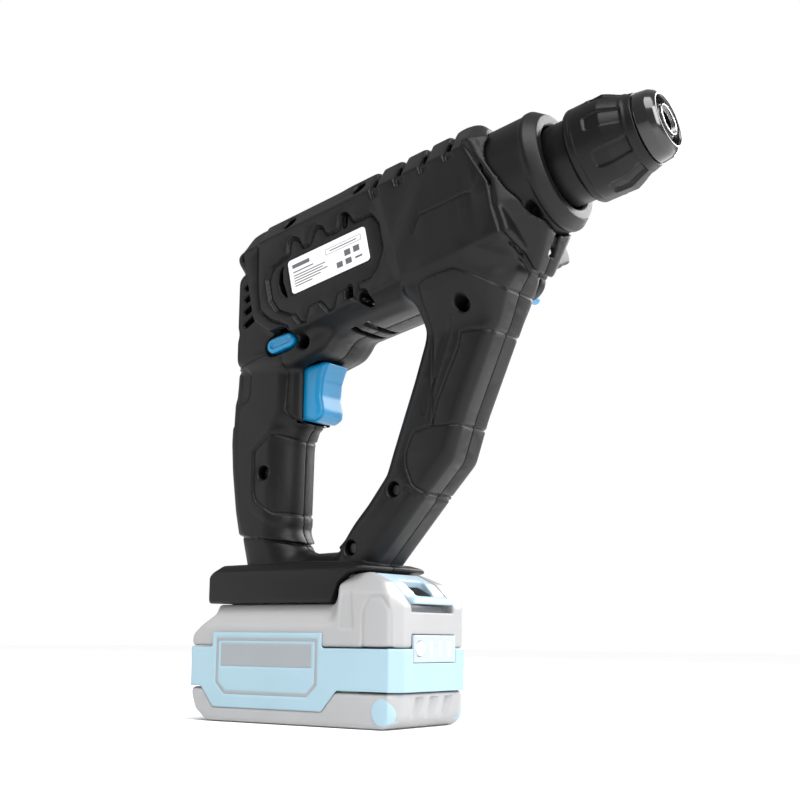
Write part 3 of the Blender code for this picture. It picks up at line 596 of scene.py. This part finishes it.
def pill_ends(centre, length, thick):
    """Ends of a stadium's middle line, along the barrel."""
    reach = (length - thick) / 2
    return ((centre[0] - reach * COS_T, centre[1] - reach * SIN_T),
            (centre[0] + reach * COS_T, centre[1] + reach * SIN_T))


# ---- controls

TRIGGER_OUTLINE = [(-14.8, 163.5), (-12, 161.5), (-3, 160), (1.5, 162.5), (2, 167), (0.4, 174),
                   (1.2, 183), (3.5, 189), (5.5, 192.2), (2, 193.2), (-8, 192), (-14.8, 190.5)]
LATCH_OUTLINE = [(43.3, 73.4), (43.3, 76.4), (46.5, 76.7), (57, 71.8), (65, 64.6), (70, 64),
                 (70, 61.2), (66, 60.9), (60, 66), (48.5, 71.5)]


def trigger_piece():
    """The trigger's face and the stem that reaches the switch."""
    grid = Grid((-21, -12, 158), (7.5, 12, 195), SMALL_FINE)
    outline = soften(polygon(grid.x, grid.z, TRIGGER_OUTLINE), grid.step, 0.7)
    face = slab(outline, np.abs(grid.y) - 10.8, 3.2)
    stem = slab(polygon(grid.x, grid.z, [(-19.5, 172), (-10, 172), (-10, 184), (-19.5, 184)]),
                np.abs(grid.y) - 4.0, 0.4)
    return piece_from_field("trigger_skin", np.minimum(face, stem), grid, 1, 0.4)


def direction_piece():
    """A button that runs across the tool, with a sunk oval on each end."""
    x, z = BUTTON_CENTRE
    grid = Grid((x - 11.5, -27, z - 7.5), (x + 11.5, 27, z + 7.5), SMALL_FINE)
    ends = pill_ends(BUTTON_CENTRE, 19.0, 8.0)
    pill = bar(grid.x, grid.z, *ends, 4.0)
    field = slab(pill, np.abs(grid.y) - 24.4, 1.3)
    inner = bar(grid.x, grid.z, *pill_ends(BUTTON_CENTRE, 13.5, 3.4), 1.7)
    cut = slab(inner, 23.6 - np.abs(grid.y), 0.2)
    return piece_from_field("direction_button_skin", less(field, cut, 0.4), grid, 1, 0.4)


def knob_pieces():
    """The selector: a black disc on its shaft, and the blue wing that turns it."""
    x, z = KNOB_PLACE
    grid = Grid((x - 13, 17, z - 13), (x + 13, 43.5, z + 13), SMALL_FINE)
    disc = circle(grid.x, grid.z, KNOB_PLACE, 0.0)
    shaft = slab(disc - 5.0, np.abs(grid.y - 24.0) - 6.0, 0.3)
    plate = slab(disc - (KNOB_R - 0.8), np.abs(grid.y - 30.8) - 3.2, 1.2)
    ring = np.abs(disc - 9.3) - 0.4
    plate = less(plate, np.maximum(ring, 33.4 - grid.y), 0.3)
    wing = bar(grid.x, grid.z, (x, z - 7.6), (x, z + 7.6), 3.2 - 0.06 * (grid.y - 34.0))
    wing = slab(wing, np.abs(grid.y - 36.5) - 5.5, 1.4)
    mark = bar(grid.x, grid.z, (x, z - 8.0), (x, z - 3.0), 0.7)
    wing = less(wing, np.maximum(mark, 41.4 - grid.y), 0.2)
    disc = piece_from_field("mode_knob_skin", np.minimum(shaft, plate), grid, 1, 0.35)
    wing = np.maximum(wing, 33.6 - grid.y)
    return disc, piece_from_field("mode_knob_wing", wing, grid, 1, 0.35)


def latch_piece():
    """The battery's release: a sloping plate with a scoop for the finger."""
    grid = Grid((41.5, -20, 59), (71.5, 20, 78.5), SMALL_FINE)
    outline = soften(polygon(grid.x, grid.z, LATCH_OUTLINE), grid.step, 0.4)
    field = slab(outline, np.abs(grid.y) - 18.6, 0.9)
    scoop = polygon(grid.x, grid.z, [(52.5, 69.5), (61, 62.8), (66, 68), (56, 78)])
    field = less(field, slab(scoop, np.abs(grid.y) - 10.5 + 0.25 * (grid.x - 53), 2.0), 0.8)
    rib = np.maximum(np.abs(grid.x - 63.2) - 0.5, 0.0)
    field = field + 0.3 * inside_of(rib - 0.3, 0.5)
    return piece_from_field("battery_latch_skin", field, grid, 1, 0.4)


# ---- chuck

FLUTES = 8
FLUTE_TURN = 12.0          # degrees the flutes are turned by
FLUTE_REAR = -34.5         # u of their rear ends
FLUTE_CORNER = 2.2
FLUTE_DEPTH = 1.5
MM_PER_DEGREE = 0.42       # round the sleeve's outside
BARREL = Matrix(((COS_T, 0, -SIN_T, BARREL_TIP[0] * MM), (0, 1, 0, 0),
                 (SIN_T, 0, COS_T, BARREL_TIP[1] * MM), (0, 0, 0, 1)))


def rounded(profile, radius=0.35, step=0.8):
    """A closed profile with small corner arcs and evenly split sides."""
    points = [np.array(p, float) for p in profile]
    out = []
    for before, here, after in zip(points[-1:] + points[:-1], points, points[1:] + points[:1]):
        back, on = before - here, after - here
        reach = min(radius, np.linalg.norm(back) * 0.4, np.linalg.norm(on) * 0.4)
        start = here + back / np.linalg.norm(back) * reach
        end = here + on / np.linalg.norm(on) * reach
        out += [start * (1 - t) ** 2 + 2 * here * t * (1 - t) + end * t * t
                for t in (0, 0.33, 0.67, 1)]
    full = []
    for here, after in zip(out, out[1:] + out[:1]):
        parts = max(1, int(np.linalg.norm(after - here) / step))
        full += [here + (after - here) * k / parts for k in range(parts)]
    return np.array(full)


def turned(name, profile, sides=128, shape=None, radius=0.35, step=6.0):
    """A ring turned on the spindle's axis; shape(u, r, angle) may move its radius."""
    line = rounded(profile, radius, step)
    angle = 2 * math.pi * np.arange(sides) / sides
    u = np.broadcast_to(line[:, 0, None], (len(line), sides))
    r = np.broadcast_to(line[:, 1, None], (len(line), sides))
    turn = np.broadcast_to(angle[None, :], u.shape)
    if shape:
        r = shape(u, r, turn)
    points = np.stack([u, r * np.sin(turn), r * np.cos(turn)], -1).reshape(-1, 3) * MM
    i = np.arange(len(line))[:, None]
    j = np.arange(sides)[None, :]
    after_i, after_j = (i + 1) % len(line), (j + 1) % sides
    quads = np.stack([i * sides + j, i * sides + after_j, after_i * sides + after_j,
                      after_i * sides + j], -1).reshape(-1, 4)
    mesh = bpy.data.meshes.new(name)
    mesh.from_pydata([tuple(p) for p in points], [], quads.tolist())
    bm = bmesh.new()
    bm.from_mesh(mesh)
    bmesh.ops.recalc_face_normals(bm, faces=bm.faces[:])
    bm.transform(BARREL)
    bm.to_mesh(mesh)
    bm.free()
    mesh.shade_smooth()
    return linked(name, mesh)


def sleeve_shape(u, r, turn):
    """Scooped finger flutes round the sleeve's outside, and a fine ring behind them."""
    outer = r > 22.6 - 0.46 * np.maximum(u + 26.5, 0.0)     # the bore stays round
    spacing = 360.0 / FLUTES
    phase = ((np.degrees(turn) + FLUTE_TURN) % spacing) - spacing / 2
    across = (np.abs(phase) - 11.0 - 0.10 * (u + 26)) * MM_PER_DEGREE
    rear = FLUTE_REAR - u
    flute = np.maximum(across, rear)
    corner = np.hypot(np.maximum(across + FLUTE_CORNER, 0),
                      np.maximum(rear + FLUTE_CORNER, 0)) - FLUTE_CORNER
    flute = np.where((across > -FLUTE_CORNER) & (rear > -FLUTE_CORNER), corner, flute)
    fade = ramp((-16.6 - u) / 1.6)
    depth = FLUTE_DEPTH * ramp(-flute / 0.7) * fade
    lip = 0.35 * (1.0 - ramp((np.abs(flute) - 0.4) / 0.7)) * fade
    ring = 0.5 * (1.0 - ramp((np.abs(u + 41.6) - 0.3) / 0.5))
    return np.where(outer & (u > -45.5), r - depth + lip - ring, r)


def chuck_pieces():
    """Sleeve, ring behind it, dust cap, fixed nose collar, and the rim of the bit's hole."""
    sleeve = turned("chuck_sleeve_skin", [
        (-46, 21.7), (-46, 23.4), (-44.3, 24.7), (-26.5, 24.7), (-17.2, 20.4), (-16.2, 20.4),
        (-14.6, 19.5), (-11.3, 18.9), (-11.3, 10.7), (-17.5, 10.7), (-17.5, 16.0), (-26.0, 21.7)],
        256, sleeve_shape, 0.5, 0.5)
    ring = turned("chuck_ring_skin", [(-60, 20.4), (-59, 21.3), (-50, 21.5), (-46.3, 21.3),
                                      (-46.3, 10.3), (-60, 10.3)], 128)
    cap = turned("dust_cap_skin", [
        (-11, 10.4), (-11, 18.0), (-10.2, 18.3), (-4.5, 17.5), (-1.7, 15.8), (-0.2, 14.3),
        (-0.2, 13.5), (-1.0, 13.0), (-5.6, 12.2), (-5.8, 10.4)], 128, None, 0.5)
    collar = turned("nose_collar_skin", [
        (-88, 22.3), (-88, COLLAR_R - 0.7), (-66.5, COLLAR_R - 0.7), (-65.3, COLLAR_R),
        (-63.2, COLLAR_R), (-57.5, COLLAR_R - 4.2), (-57.5, 23.6), (-59, 22.3)], 160, None, 0.6)
    pocket = turned("collar_pocket", [(-6, 0.01), (-6, 3.6), (30, 3.6), (30, 0.01)], 32)
    spot = Matrix.Translation((COLLAR_POCKET[0] * MM, -0.019, COLLAR_POCKET[1] * MM))
    pocket.matrix_world = spot @ Matrix.Rotation(-math.pi / 2, 4, "Z") @ BARREL.inverted()
    bpy.context.view_layer.update()
    cut = collar.modifiers.new("pocket", "BOOLEAN")
    cut.operation, cut.object, cut.solver = "DIFFERENCE", pocket, "EXACT"
    apply_modifiers(collar)
    bpy.data.objects.remove(pocket)
    mouth = turned("bit_mouth", [
        (-3.4, 7.6), (-0.1, 7.6), (0.2, 7.85), (-0.1, 8.1), (-3.4, 8.1)], 96, None, 0.15)
    return sleeve, ring, cap, collar, mouth


# ---- battery

CASE_HALF = 33.5
CASE_PLAN = [(69.2, -26.5), (69.2, 26.5), (64.3, CASE_HALF), (-65, CASE_HALF), (-67.6, 30.6),
             (-67.6, -30.6), (-65, -CASE_HALF), (64.3, -CASE_HALF)]
BAND_PLAN = [(69.8, -27.2), (69.8, 27.2), (64.8, 33.85), (-65.2, 33.85), (-67.8, 31.2),
             (-67.8, -31.2), (-65.2, -33.85), (64.8, -33.85)]
UPPER_OUTLINE = [(-67.5, 39.3), (-67.5, 44), (-52.5, 56), (-52.5, 61), (26.6, 61), (31.2, 71.8),
                 (37, 76.3), (46, 77), (57, 72), (63, 66), (69, 60), (69.4, 39.3)]
LOWER_OUTLINE = [(-67.5, 17.7), (-63, 6.2), (-55, 0.3), (61, 0.3), (67, 6.2), (69.2, 17.7)]
PANEL_OUTLINE = [(-49.5, 45.5), (22.5, 45.5), (22.5, 19.5), (15, 12.6), (-42, 12.6), (-49.5, 19.5)]
BAND_SIDE = [(-80, 39), (-50.5, 39), (-50.5, 46.5), (23.5, 46.5), (23.5, 39), (80, 39), (80, 18),
             (33, 18), (23.5, 7.5), (-49, 7.5), (-58, 18), (-80, 18)]


def plan(grid, points):
    """Signed distance in plan, on the grid's x and y."""
    flat = polygon(grid.x[:, :, 0], grid.y[:, :, 0], points)
    return flat[:, :, None].astype(np.float32)


def battery_pieces():
    """Upper and lower cases, corner bumpers, band, and the trim on the side panels."""
    step = 0.6
    grid = Grid((-70, -36, 37.5), (72, 36, 79), step)
    side = soften(polygon(grid.x, grid.z, UPPER_OUTLINE), step, 0.8)
    upper = slab(side, plan(grid, CASE_PLAN), 1.8)
    slope = 0.55 * np.maximum(grid.z - 49.0, 0.0) * ramp((30 - grid.x) / 10)
    facet = (np.abs(grid.y) - CASE_HALF) + slope
    crown = np.abs(grid.y) - (CASE_HALF - 0.9 * np.maximum(grid.z - 66.0, 0.0))
    upper = less(upper, -facet, 1.0)
    upper = less(upper, -crown, 1.5)
    flat = polygon(grid.x, grid.z, [(32.0, 47.5), (43.5, 47.5), (41.5, 68.0), (34.0, 68.0)])
    sink(upper, soften(flat, step, 0.8) + 0.8, 0.5, 1.0)
    arch = polygon(grid.x, grid.z, [(48, 39), (64.5, 39), (64.5, 58), (60, 64), (52, 64), (48, 58)])
    carve(upper, soften(arch, step, 0.8), 0.5, 1.4)
    well = polygon(grid.x, grid.z, [(42.5, 69), (47.5, 60.5), (61, 60.5), (63, 57), (80, 57),
                                    (80, 90), (42.5, 90)])
    upper = less(upper, slab(well, np.abs(grid.y) - 19.2, 0.5), 0.6)
    rail_neck = polygon(grid.x, grid.z, [(-50, 58), (34, 58), (34, 77), (-50, 77)])
    neck = slab(rail_neck, np.abs(grid.y) - 19.7, 0.4)
    head = polygon(grid.x, grid.z, [(-50, 68.6), (34, 68.6), (34, 76.4), (-50, 76.4)])
    rails = np.minimum(np.maximum(neck, grid.z - 76.5), slab(head, np.abs(grid.y) - 23.9, 0.6))
    upper = np.minimum(upper, rails)
    gauge_seat = polygon(grid.x, grid.z, [(67.4, 32), (75, 32), (75, 46), (67.4, 46)])
    upper = less(upper, slab(gauge_seat, np.abs(grid.y) - 19.3, 0.2), 0.3)
    room = polygon(grid.x, grid.z, [(-60, 30), (-60, 43), (-48, 53), (-48, 56), (58, 56), (62, 50),
                                    (62, 30)])
    upper = np.maximum(upper, -slab(room, np.abs(grid.y) - 29.0, 0.5))
    top = piece_from_field("battery_upper_skin", upper, grid, 1, 0.3)

    grid = Grid((-70, -36, -1.5), (72, 36, 20), step)
    side = soften(polygon(grid.x, grid.z, LOWER_OUTLINE), step, 1.2)
    lower = slab(side, plan(grid, CASE_PLAN), 2.6)
    for y in (-13.0, 0.0, 13.0):
        aside = grid.y - y - 0.35 * (grid.z - 9.0)
        slant = np.abs(aside) - 3.2
        scoop = np.hypot(grid.x - 75.5, aside * 1.6) - 9.8
        scoop = np.maximum(scoop, np.maximum(grid.z - 15.5, slant - 1.2))
        lower = less(lower, scoop, 0.6)
    band_room = polygon(grid.x, grid.z, BAND_SIDE) - 0.25
    lower = less(lower, np.maximum(band_room, 33.0 - np.abs(grid.y)), 0.2)
    bumper = (np.hypot((grid.x - 60.5) / 6.0, (grid.z - 8.6) / 6.6) - 1.0) * 6.0
    bumper = np.maximum(np.maximum(lower - 0.25, -(lower + 1.0)), bumper)
    bumper = np.maximum(bumper, 24.0 - np.abs(grid.y))
    room = polygon(grid.x, grid.z, [(-58, 25), (-58, 8), (-52, 2), (58, 2), (63, 8), (63, 25)])
    lower = np.maximum(lower, -slab(room, np.abs(grid.y) - 31.0, 0.5))
    base = piece_from_field("battery_lower_skin", lower, grid, 1, 0.3)
    guards = piece_from_field("corner_bumpers", bumper, grid, 1, 0.5)

    grid = Grid((-70, -36, 5), (72, 36, 48.5), step * 0.8)
    sides = soften(polygon(grid.x, grid.z, BAND_SIDE), step * 0.8, 0.5)
    band = slab(sides, plan(grid, BAND_PLAN), 0.35)
    core = plan(grid, [(67.4, -25.6), (67.4, 25.6), (63.4, 33.1), (-63.8, 33.1), (-66, 30.6),
                       (-66, -30.6), (-63.8, -33.1), (63.4, -33.1)])
    band = np.maximum(band, -core)
    panel = soften(polygon(grid.x, grid.z, PANEL_OUTLINE), step * 0.8, 0.5)
    band = less(band, np.maximum(np.abs(panel + 2.6) - 1.1, 33.6 - np.abs(grid.y)), 0.15)
    plate = polygon(grid.x, grid.z, [(-44.5, 28.6), (17.5, 28.6), (17.5, 41), (-44.5, 41)])
    band = less(band, np.maximum(plate - 0.15, 33.6 - np.abs(grid.y)), 0.15)
    seat = polygon(grid.x, grid.z, [(67.4, 32), (75, 32), (75, 50), (67.4, 50)])
    band = less(band, slab(seat, np.abs(grid.y) - 19.3, 0.1), 0.15)
    middle = piece_from_field("battery_band_skin", band, grid, 1, 0.3)
    outer = np.abs(grid.y) - 33.7
    inner = 33.2 - np.abs(grid.y)
    frame_line = np.maximum(np.maximum(np.abs(panel + 2.6) - 0.95, outer), inner)
    name_plate = slab(plate + 0.25, np.maximum(outer - 0.05, inner), 0.15)
    trims = piece_from_field("panel_trim", np.minimum(frame_line, name_plate), grid, 1, 0.4)
    return top, base, guards, middle, trims


def boxes(name, sizes):
    """Small bevelled blocks, each (low corner, high corner) in millimetres."""
    bm = bmesh.new()
    for low, high in sizes:
        made = bmesh.ops.create_cube(bm, size=1.0)["verts"]
        size = [b - a for a, b in zip(low, high)]
        bmesh.ops.scale(bm, vec=[c * MM for c in size], verts=made)
        bmesh.ops.translate(bm, vec=[(a + b) / 2 * MM for a, b in zip(low, high)], verts=made)
    bmesh.ops.bevel(bm, geom=bm.edges[:], offset=0.04 * MM, segments=1, affect="EDGES")
    return linked_mesh(name, bm)


def gauge_pieces():
    """The charge gauge on the pack's front, with three raised bars."""
    grid = Grid((66.5, -20.5, 31), (71.5, 20.5, 47), SMALL_FINE)
    flat = polygon(grid.x, grid.z, [(67.9, 32.3), (69.9, 32.3), (69.9, 45.7), (67.9, 45.7)])
    panel = slab(flat, np.abs(grid.y) - 19.0, 0.6)
    seat = np.hypot(grid.y + 13.5, grid.z - 39.0) - 3.9
    panel = np.maximum(panel, -seat)
    plate = piece_from_field("charge_gauge_skin", panel, grid, 1, 0.4)
    bars = boxes("gauge_bars", [((69.8, y, 35.2), (70.0, y + 2.0, 42.8))
                                for y in (-4.5, 3.5, 11.5)])
    return plate, bars


def label_pieces():
    """A white plate on the right side, and plain bars and squares in place of print."""
    grid = Grid((-11, 29.2, 223.5), (51, 31.2, 261), SMALL_FINE * 0.6)
    flat = polygon(grid.u, grid.v, [(-213.8, -15.6), (-164.7, -15.6), (-164.7, -0.2),
                                    (-213.8, -0.2)])
    plate = slab(flat - 2.1, np.abs(grid.y - 30.15) - 0.25, 0.08)
    plate = piece_from_field("rating_label_skin", plate, grid, -1, 0.15)
    marks = [(-213, -3.6, 12, 2.2), (-213, -6.2, 14, 0.7), (-213, -8.2, 22, 0.6),
             (-213, -9.7, 20, 0.6), (-213, -11.2, 23, 0.6), (-213, -12.7, 18, 0.6),
             (-213, -14.2, 12, 0.6),
             (-190, -1.6, 24, 0.25), (-190, -4.6, 24, 0.25), (-190, -4.6, 0.25, 3.2),
             (-166.2, -4.6, 0.25, 3.2), (-187, -3.3, 18, 0.6), (-178, -9.8, 4, 3.4),
             (-172, -9.8, 4, 3.4), (-184, -14.6, 4, 3.2), (-178, -14.6, 4, 3.2),
             (-171.5, -13.6, 4.6, 1.1)]
    bm = bmesh.new()
    for u, v, wide, tall in marks:
        ring = []
        places = [barrel_point(a, b)
                  for a, b in ((u, v), (u + wide, v), (u + wide, v + tall), (u, v + tall))]
        for y in (-30.38, -30.44):
            ring.append([bm.verts.new((x * MM, y * MM, z * MM)) for x, z in places])
        bm.faces.new(ring[1])
        bm.faces.new(ring[0][::-1])
        for k in range(4):
            bm.faces.new((ring[0][k], ring[0][(k + 1) % 4], ring[1][(k + 1) % 4], ring[1][k]))
    bmesh.ops.recalc_face_normals(bm, faces=bm.faces[:])
    return plate, linked_mesh("label_print", bm)


# ---- camera and light

CAMERA_PLACE = (0.43549, -0.55774, 0.04426)
CAMERA_TURN = (34.88, 10.37, 0.546)        # yaw, pitch and roll in degrees
CAMERA_LENS = 58.5


def add_camera():
    """The viewing angle: from the tool's front right, a little below its middle."""
    yaw, pitch, roll = (math.radians(angle) for angle in CAMERA_TURN)
    forward = Vector((-math.sin(yaw) * math.cos(pitch), math.cos(yaw) * math.cos(pitch),
                      math.sin(pitch)))
    right = Vector((math.cos(yaw), math.sin(yaw), 0.0))
    up = right.cross(forward)
    turned_right = right * math.cos(roll) + up * math.sin(roll)
    turned_up = up * math.cos(roll) - right * math.sin(roll)
    data = bpy.data.cameras.new("camera")
    data.lens = CAMERA_LENS
    data.sensor_width = 36.0
    data.clip_start = 0.01
    thing = linked("camera", data)
    basis = Matrix((turned_right, turned_up, -forward)).transposed().to_4x4()
    thing.matrix_world = Matrix.Translation(CAMERA_PLACE) @ basis
    bpy.context.scene.camera = thing


def area_light(name, place, target, size, power):
    data = bpy.data.lights.new(name, "AREA")
    data.shape = "RECTANGLE"
    data.size, data.size_y = size
    data.energy = power
    thing = linked(name, data)
    thing.location = place
    aim = Vector(target) - Vector(place)
    thing.rotation_euler = aim.to_track_quat("-Z", "Y").to_euler()


AREA_LIGHTS = [                            # name, place, target, size, power
    ("key", (1.1, -0.35, 0.75), (0.08, 0.0, 0.2), (0.35, 0.9), 12.0),
    ("left", (-0.9, -0.8, 0.5), (0.0, 0.0, 0.18), (0.5, 0.9), 3.0),
    ("back", (0.5, 1.3, 0.85), (0.08, 0.0, 0.22), (1.4, 1.0), 30.0)]


def add_lights():
    """Soft boxes, a broad high light, and a world that looks white and lights gently."""
    for light in AREA_LIGHTS:
        area_light(*light)
    sun = bpy.data.lights.new("high", "SUN")
    sun.energy = 2.3
    sun.angle = math.radians(40.0)
    high = linked("high", sun)
    high.rotation_euler = (math.radians(20.0), math.radians(18.0), 0.0)
    world = bpy.data.worlds.new("studio")
    world.use_nodes = True
    nodes, links = world.node_tree.nodes, world.node_tree.links
    sky = nodes["Background"]
    sky.inputs["Color"].default_value = (1.0, 1.0, 1.0, 1.0)
    sky.inputs["Strength"].default_value = 0.35
    seen = nodes.new("ShaderNodeBackground")
    seen.inputs["Color"].default_value = (1.0, 1.0, 1.0, 1.0)
    seen.inputs["Strength"].default_value = 1.0
    path = nodes.new("ShaderNodeLightPath")
    mix = nodes.new("ShaderNodeMixShader")
    links.new(path.outputs["Is Camera Ray"], mix.inputs["Fac"])
    links.new(sky.outputs["Background"], mix.inputs[1])
    links.new(seen.outputs["Background"], mix.inputs[2])
    links.new(mix.outputs["Shader"], nodes["World Output"].inputs["Surface"])
    bpy.context.scene.world = world
    bpy.context.scene.view_settings.view_transform = "Standard"


def add_floor():
    bm = bmesh.new()
    bmesh.ops.create_grid(bm, x_segments=1, y_segments=1, size=4.0)
    floor = linked_mesh("floor", bm)
    paint = plastic("floor_paint", (0.96, 0.96, 0.96), 0.9, 0.0, 1.0, spread=0.01, specular=0.0)
    floor.data.materials.append(paint)


# ---- materials

def plastic(name, colour, roughness, grain, scale, metallic=0.0, coat=0.0, spread=0.12,
            specular=0.5):
    """Moulded plastic: fine grain in the surface and slight shifts of tone and gloss."""
    made = bpy.data.materials.new(name)
    made.use_nodes = True
    nodes, links = made.node_tree.nodes, made.node_tree.links
    shader = nodes["Principled BSDF"]
    shader.inputs["Metallic"].default_value = metallic
    shader.inputs["Coat Weight"].default_value = coat
    shader.inputs["Specular IOR Level"].default_value = specular
    place = nodes.new("ShaderNodeTexCoord")
    fine = nodes.new("ShaderNodeTexNoise")
    fine.inputs["Scale"].default_value = scale
    fine.inputs["Detail"].default_value = 3.0
    broad = nodes.new("ShaderNodeTexNoise")
    broad.inputs["Scale"].default_value = 28.0
    broad.inputs["Detail"].default_value = 4.0
    for noise in (fine, broad):
        links.new(place.outputs["Object"], noise.inputs["Vector"])
    tone = nodes.new("ShaderNodeValToRGB")
    low = [c * (1.0 - spread) for c in colour]
    high = [min(1.0, c * (1.0 + spread)) for c in colour]
    tone.color_ramp.elements[0].position = 0.3
    tone.color_ramp.elements[1].position = 0.7
    tone.color_ramp.elements[0].color = (*low, 1.0)
    tone.color_ramp.elements[1].color = (*high, 1.0)
    links.new(broad.outputs["Fac"], tone.inputs["Fac"])
    links.new(tone.outputs["Color"], shader.inputs["Base Color"])
    gloss = nodes.new("ShaderNodeMapRange")
    gloss.inputs["To Min"].default_value = roughness - 0.06
    gloss.inputs["To Max"].default_value = roughness + 0.06
    links.new(broad.outputs["Fac"], gloss.inputs["Value"])
    links.new(gloss.outputs["Result"], shader.inputs["Roughness"])
    if grain > 0.0:
        bump = nodes.new("ShaderNodeBump")
        bump.inputs["Strength"].default_value = grain
        bump.inputs["Distance"].default_value = 0.0002
        links.new(fine.outputs["Fac"], bump.inputs["Height"])
        links.new(bump.outputs["Normal"], shader.inputs["Normal"])
    return made


SHELL = plastic("shell_black", (0.004, 0.004, 0.0042), 0.42, 0.35, 2600.0, specular=0.24)
RUBBER = plastic("rubber_black", (0.004, 0.004, 0.0042), 0.38, 0.2, 1800.0, specular=0.22)
GLOSS = plastic("gloss_black", (0.006, 0.006, 0.0065), 0.16, 0.05, 1500.0, coat=0.4)
BLUE = plastic("blue_plastic", (0.0, 0.20, 0.42), 0.34, 0.1, 1500.0, spread=0.04)
GREY = plastic("battery_grey", (0.365, 0.365, 0.37), 0.42, 0.2, 2400.0, spread=0.03)
SKY = plastic("battery_blue", (0.32, 0.47, 0.55), 0.40, 0.2, 2400.0, spread=0.03)
LATCH = plastic("latch_blue", (0.42, 0.56, 0.66), 0.38, 0.2, 2400.0, spread=0.03)
TRIM = plastic("trim_grey", (0.29, 0.31, 0.33), 0.42, 0.2, 2400.0, spread=0.03)
PALE = plastic("gauge_pale", (0.40, 0.46, 0.53), 0.35, 0.1, 2400.0, spread=0.02)
WHITE = plastic("white_print", (0.86, 0.86, 0.87), 0.40, 0.0, 2400.0, spread=0.02)
LABEL_WHITE = plastic("label_white", (0.78, 0.78, 0.79), 0.38, 0.05, 900.0, spread=0.02)
INK = plastic("label_ink", (0.10, 0.10, 0.11), 0.5, 0.0, 900.0, spread=0.05)
STEEL = plastic("ground_steel", (0.55, 0.55, 0.57), 0.28, 0.1, 2400.0, 1.0)
CHROME = plastic("polished_steel", (0.86, 0.86, 0.87), 0.14, 0.03, 2400.0, 1.0, spread=0.03)
COPPER = plastic("copper", (0.72, 0.36, 0.18), 0.35, 0.1, 2400.0, 1.0)
DARK = plastic("black_oxide_steel", (0.045, 0.045, 0.048), 0.34, 0.1, 2400.0, 1.0)
LENS = plastic("lamp_lens", (0.62, 0.63, 0.65), 0.12, 0.0, 900.0, coat=0.5, spread=0.02)
RED = plastic("red_lead", (0.50, 0.02, 0.02), 0.4, 0.1, 1800.0)
BOARD = plastic("circuit_board", (0.02, 0.14, 0.06), 0.38, 0.1, 1800.0)
SHRINK = plastic("cell_sleeve", (0.10, 0.30, 0.18), 0.36, 0.1, 1800.0)


# ---- assembly

def place(piece, body, slot, finish, *nodes):
    """Give a piece its material and body, and hide the CAD nodes it stands for; slot is not used.
    """
    piece.data.materials.clear()
    piece.data.materials.append(finish)
    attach(piece, body)
    if nodes:
        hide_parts(*nodes)


for name, side in (("right_housing", -1), ("left_housing", 1)):
    place(housing_half(name + "_skin", side), "frame", "black_shell", SHELL, name)

place(trigger_piece(), "trigger", "blue_plastic", BLUE, "trigger")
place(direction_piece(), "direction", "blue_plastic", BLUE, "direction_button")
disc, wing = knob_pieces()
place(disc, "knob", "soft_black", RUBBER, "mode_knob")
place(wing, "knob", "blue_plastic", BLUE)
place(latch_piece(), "latch", "battery_blue", LATCH, "battery_latch")

sleeve, ring, cap, collar, mouth = chuck_pieces()
place(sleeve, "sleeve", "soft_black", RUBBER, "chuck_sleeve")
place(ring, "spindle", "soft_black", RUBBER, "chuck_ring")
place(cap, "spindle", "soft_black", GLOSS, "dust_cap")
place(collar, "frame", "black_shell", SHELL, "nose_collar")
place(mouth, "spindle", "steel", CHROME)

top, base, guards, middle, trims = battery_pieces()
place(top, "battery", "battery_grey", GREY, "battery_upper")
place(base, "battery", "battery_grey", GREY, "battery_lower")
place(guards, "battery", "battery_blue", SKY)
place(middle, "battery", "battery_blue", SKY, "battery_band")
place(trims, "battery", "battery_grey", TRIM)

plate, bars = gauge_pieces()
place(plate, "battery", "battery_grey", PALE, "charge_gauge")
place(bars, "battery", "battery_grey", WHITE)
plate, ink = label_pieces()
place(plate, "frame", "plate", LABEL_WHITE, "rating_label")
place(ink, "frame", "plate", INK)

NODE_FINISH = {
    "gauge_button": WHITE, "work_light": LENS, "spindle": DARK, "armature": COPPER,
    "spindle_bush": COPPER, "cell_pack": SHRINK, "protection_board": BOARD,
    "power_lead_red": RED, "power_lead_black": RUBBER, "cooling_fan": RUBBER,
    "switch_module": SHELL, "terminal_block": SHELL, "striker": DARK, "wobble_ring": DARK,
    "motor_can": DARK}
for node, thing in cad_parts.items():
    finish = NODE_FINISH.get(node, DARK if node.startswith("housing_screw") else STEEL)
    thing.data.materials.clear()
    thing.data.materials.append(finish)

add_floor()
add_lights()
add_camera()
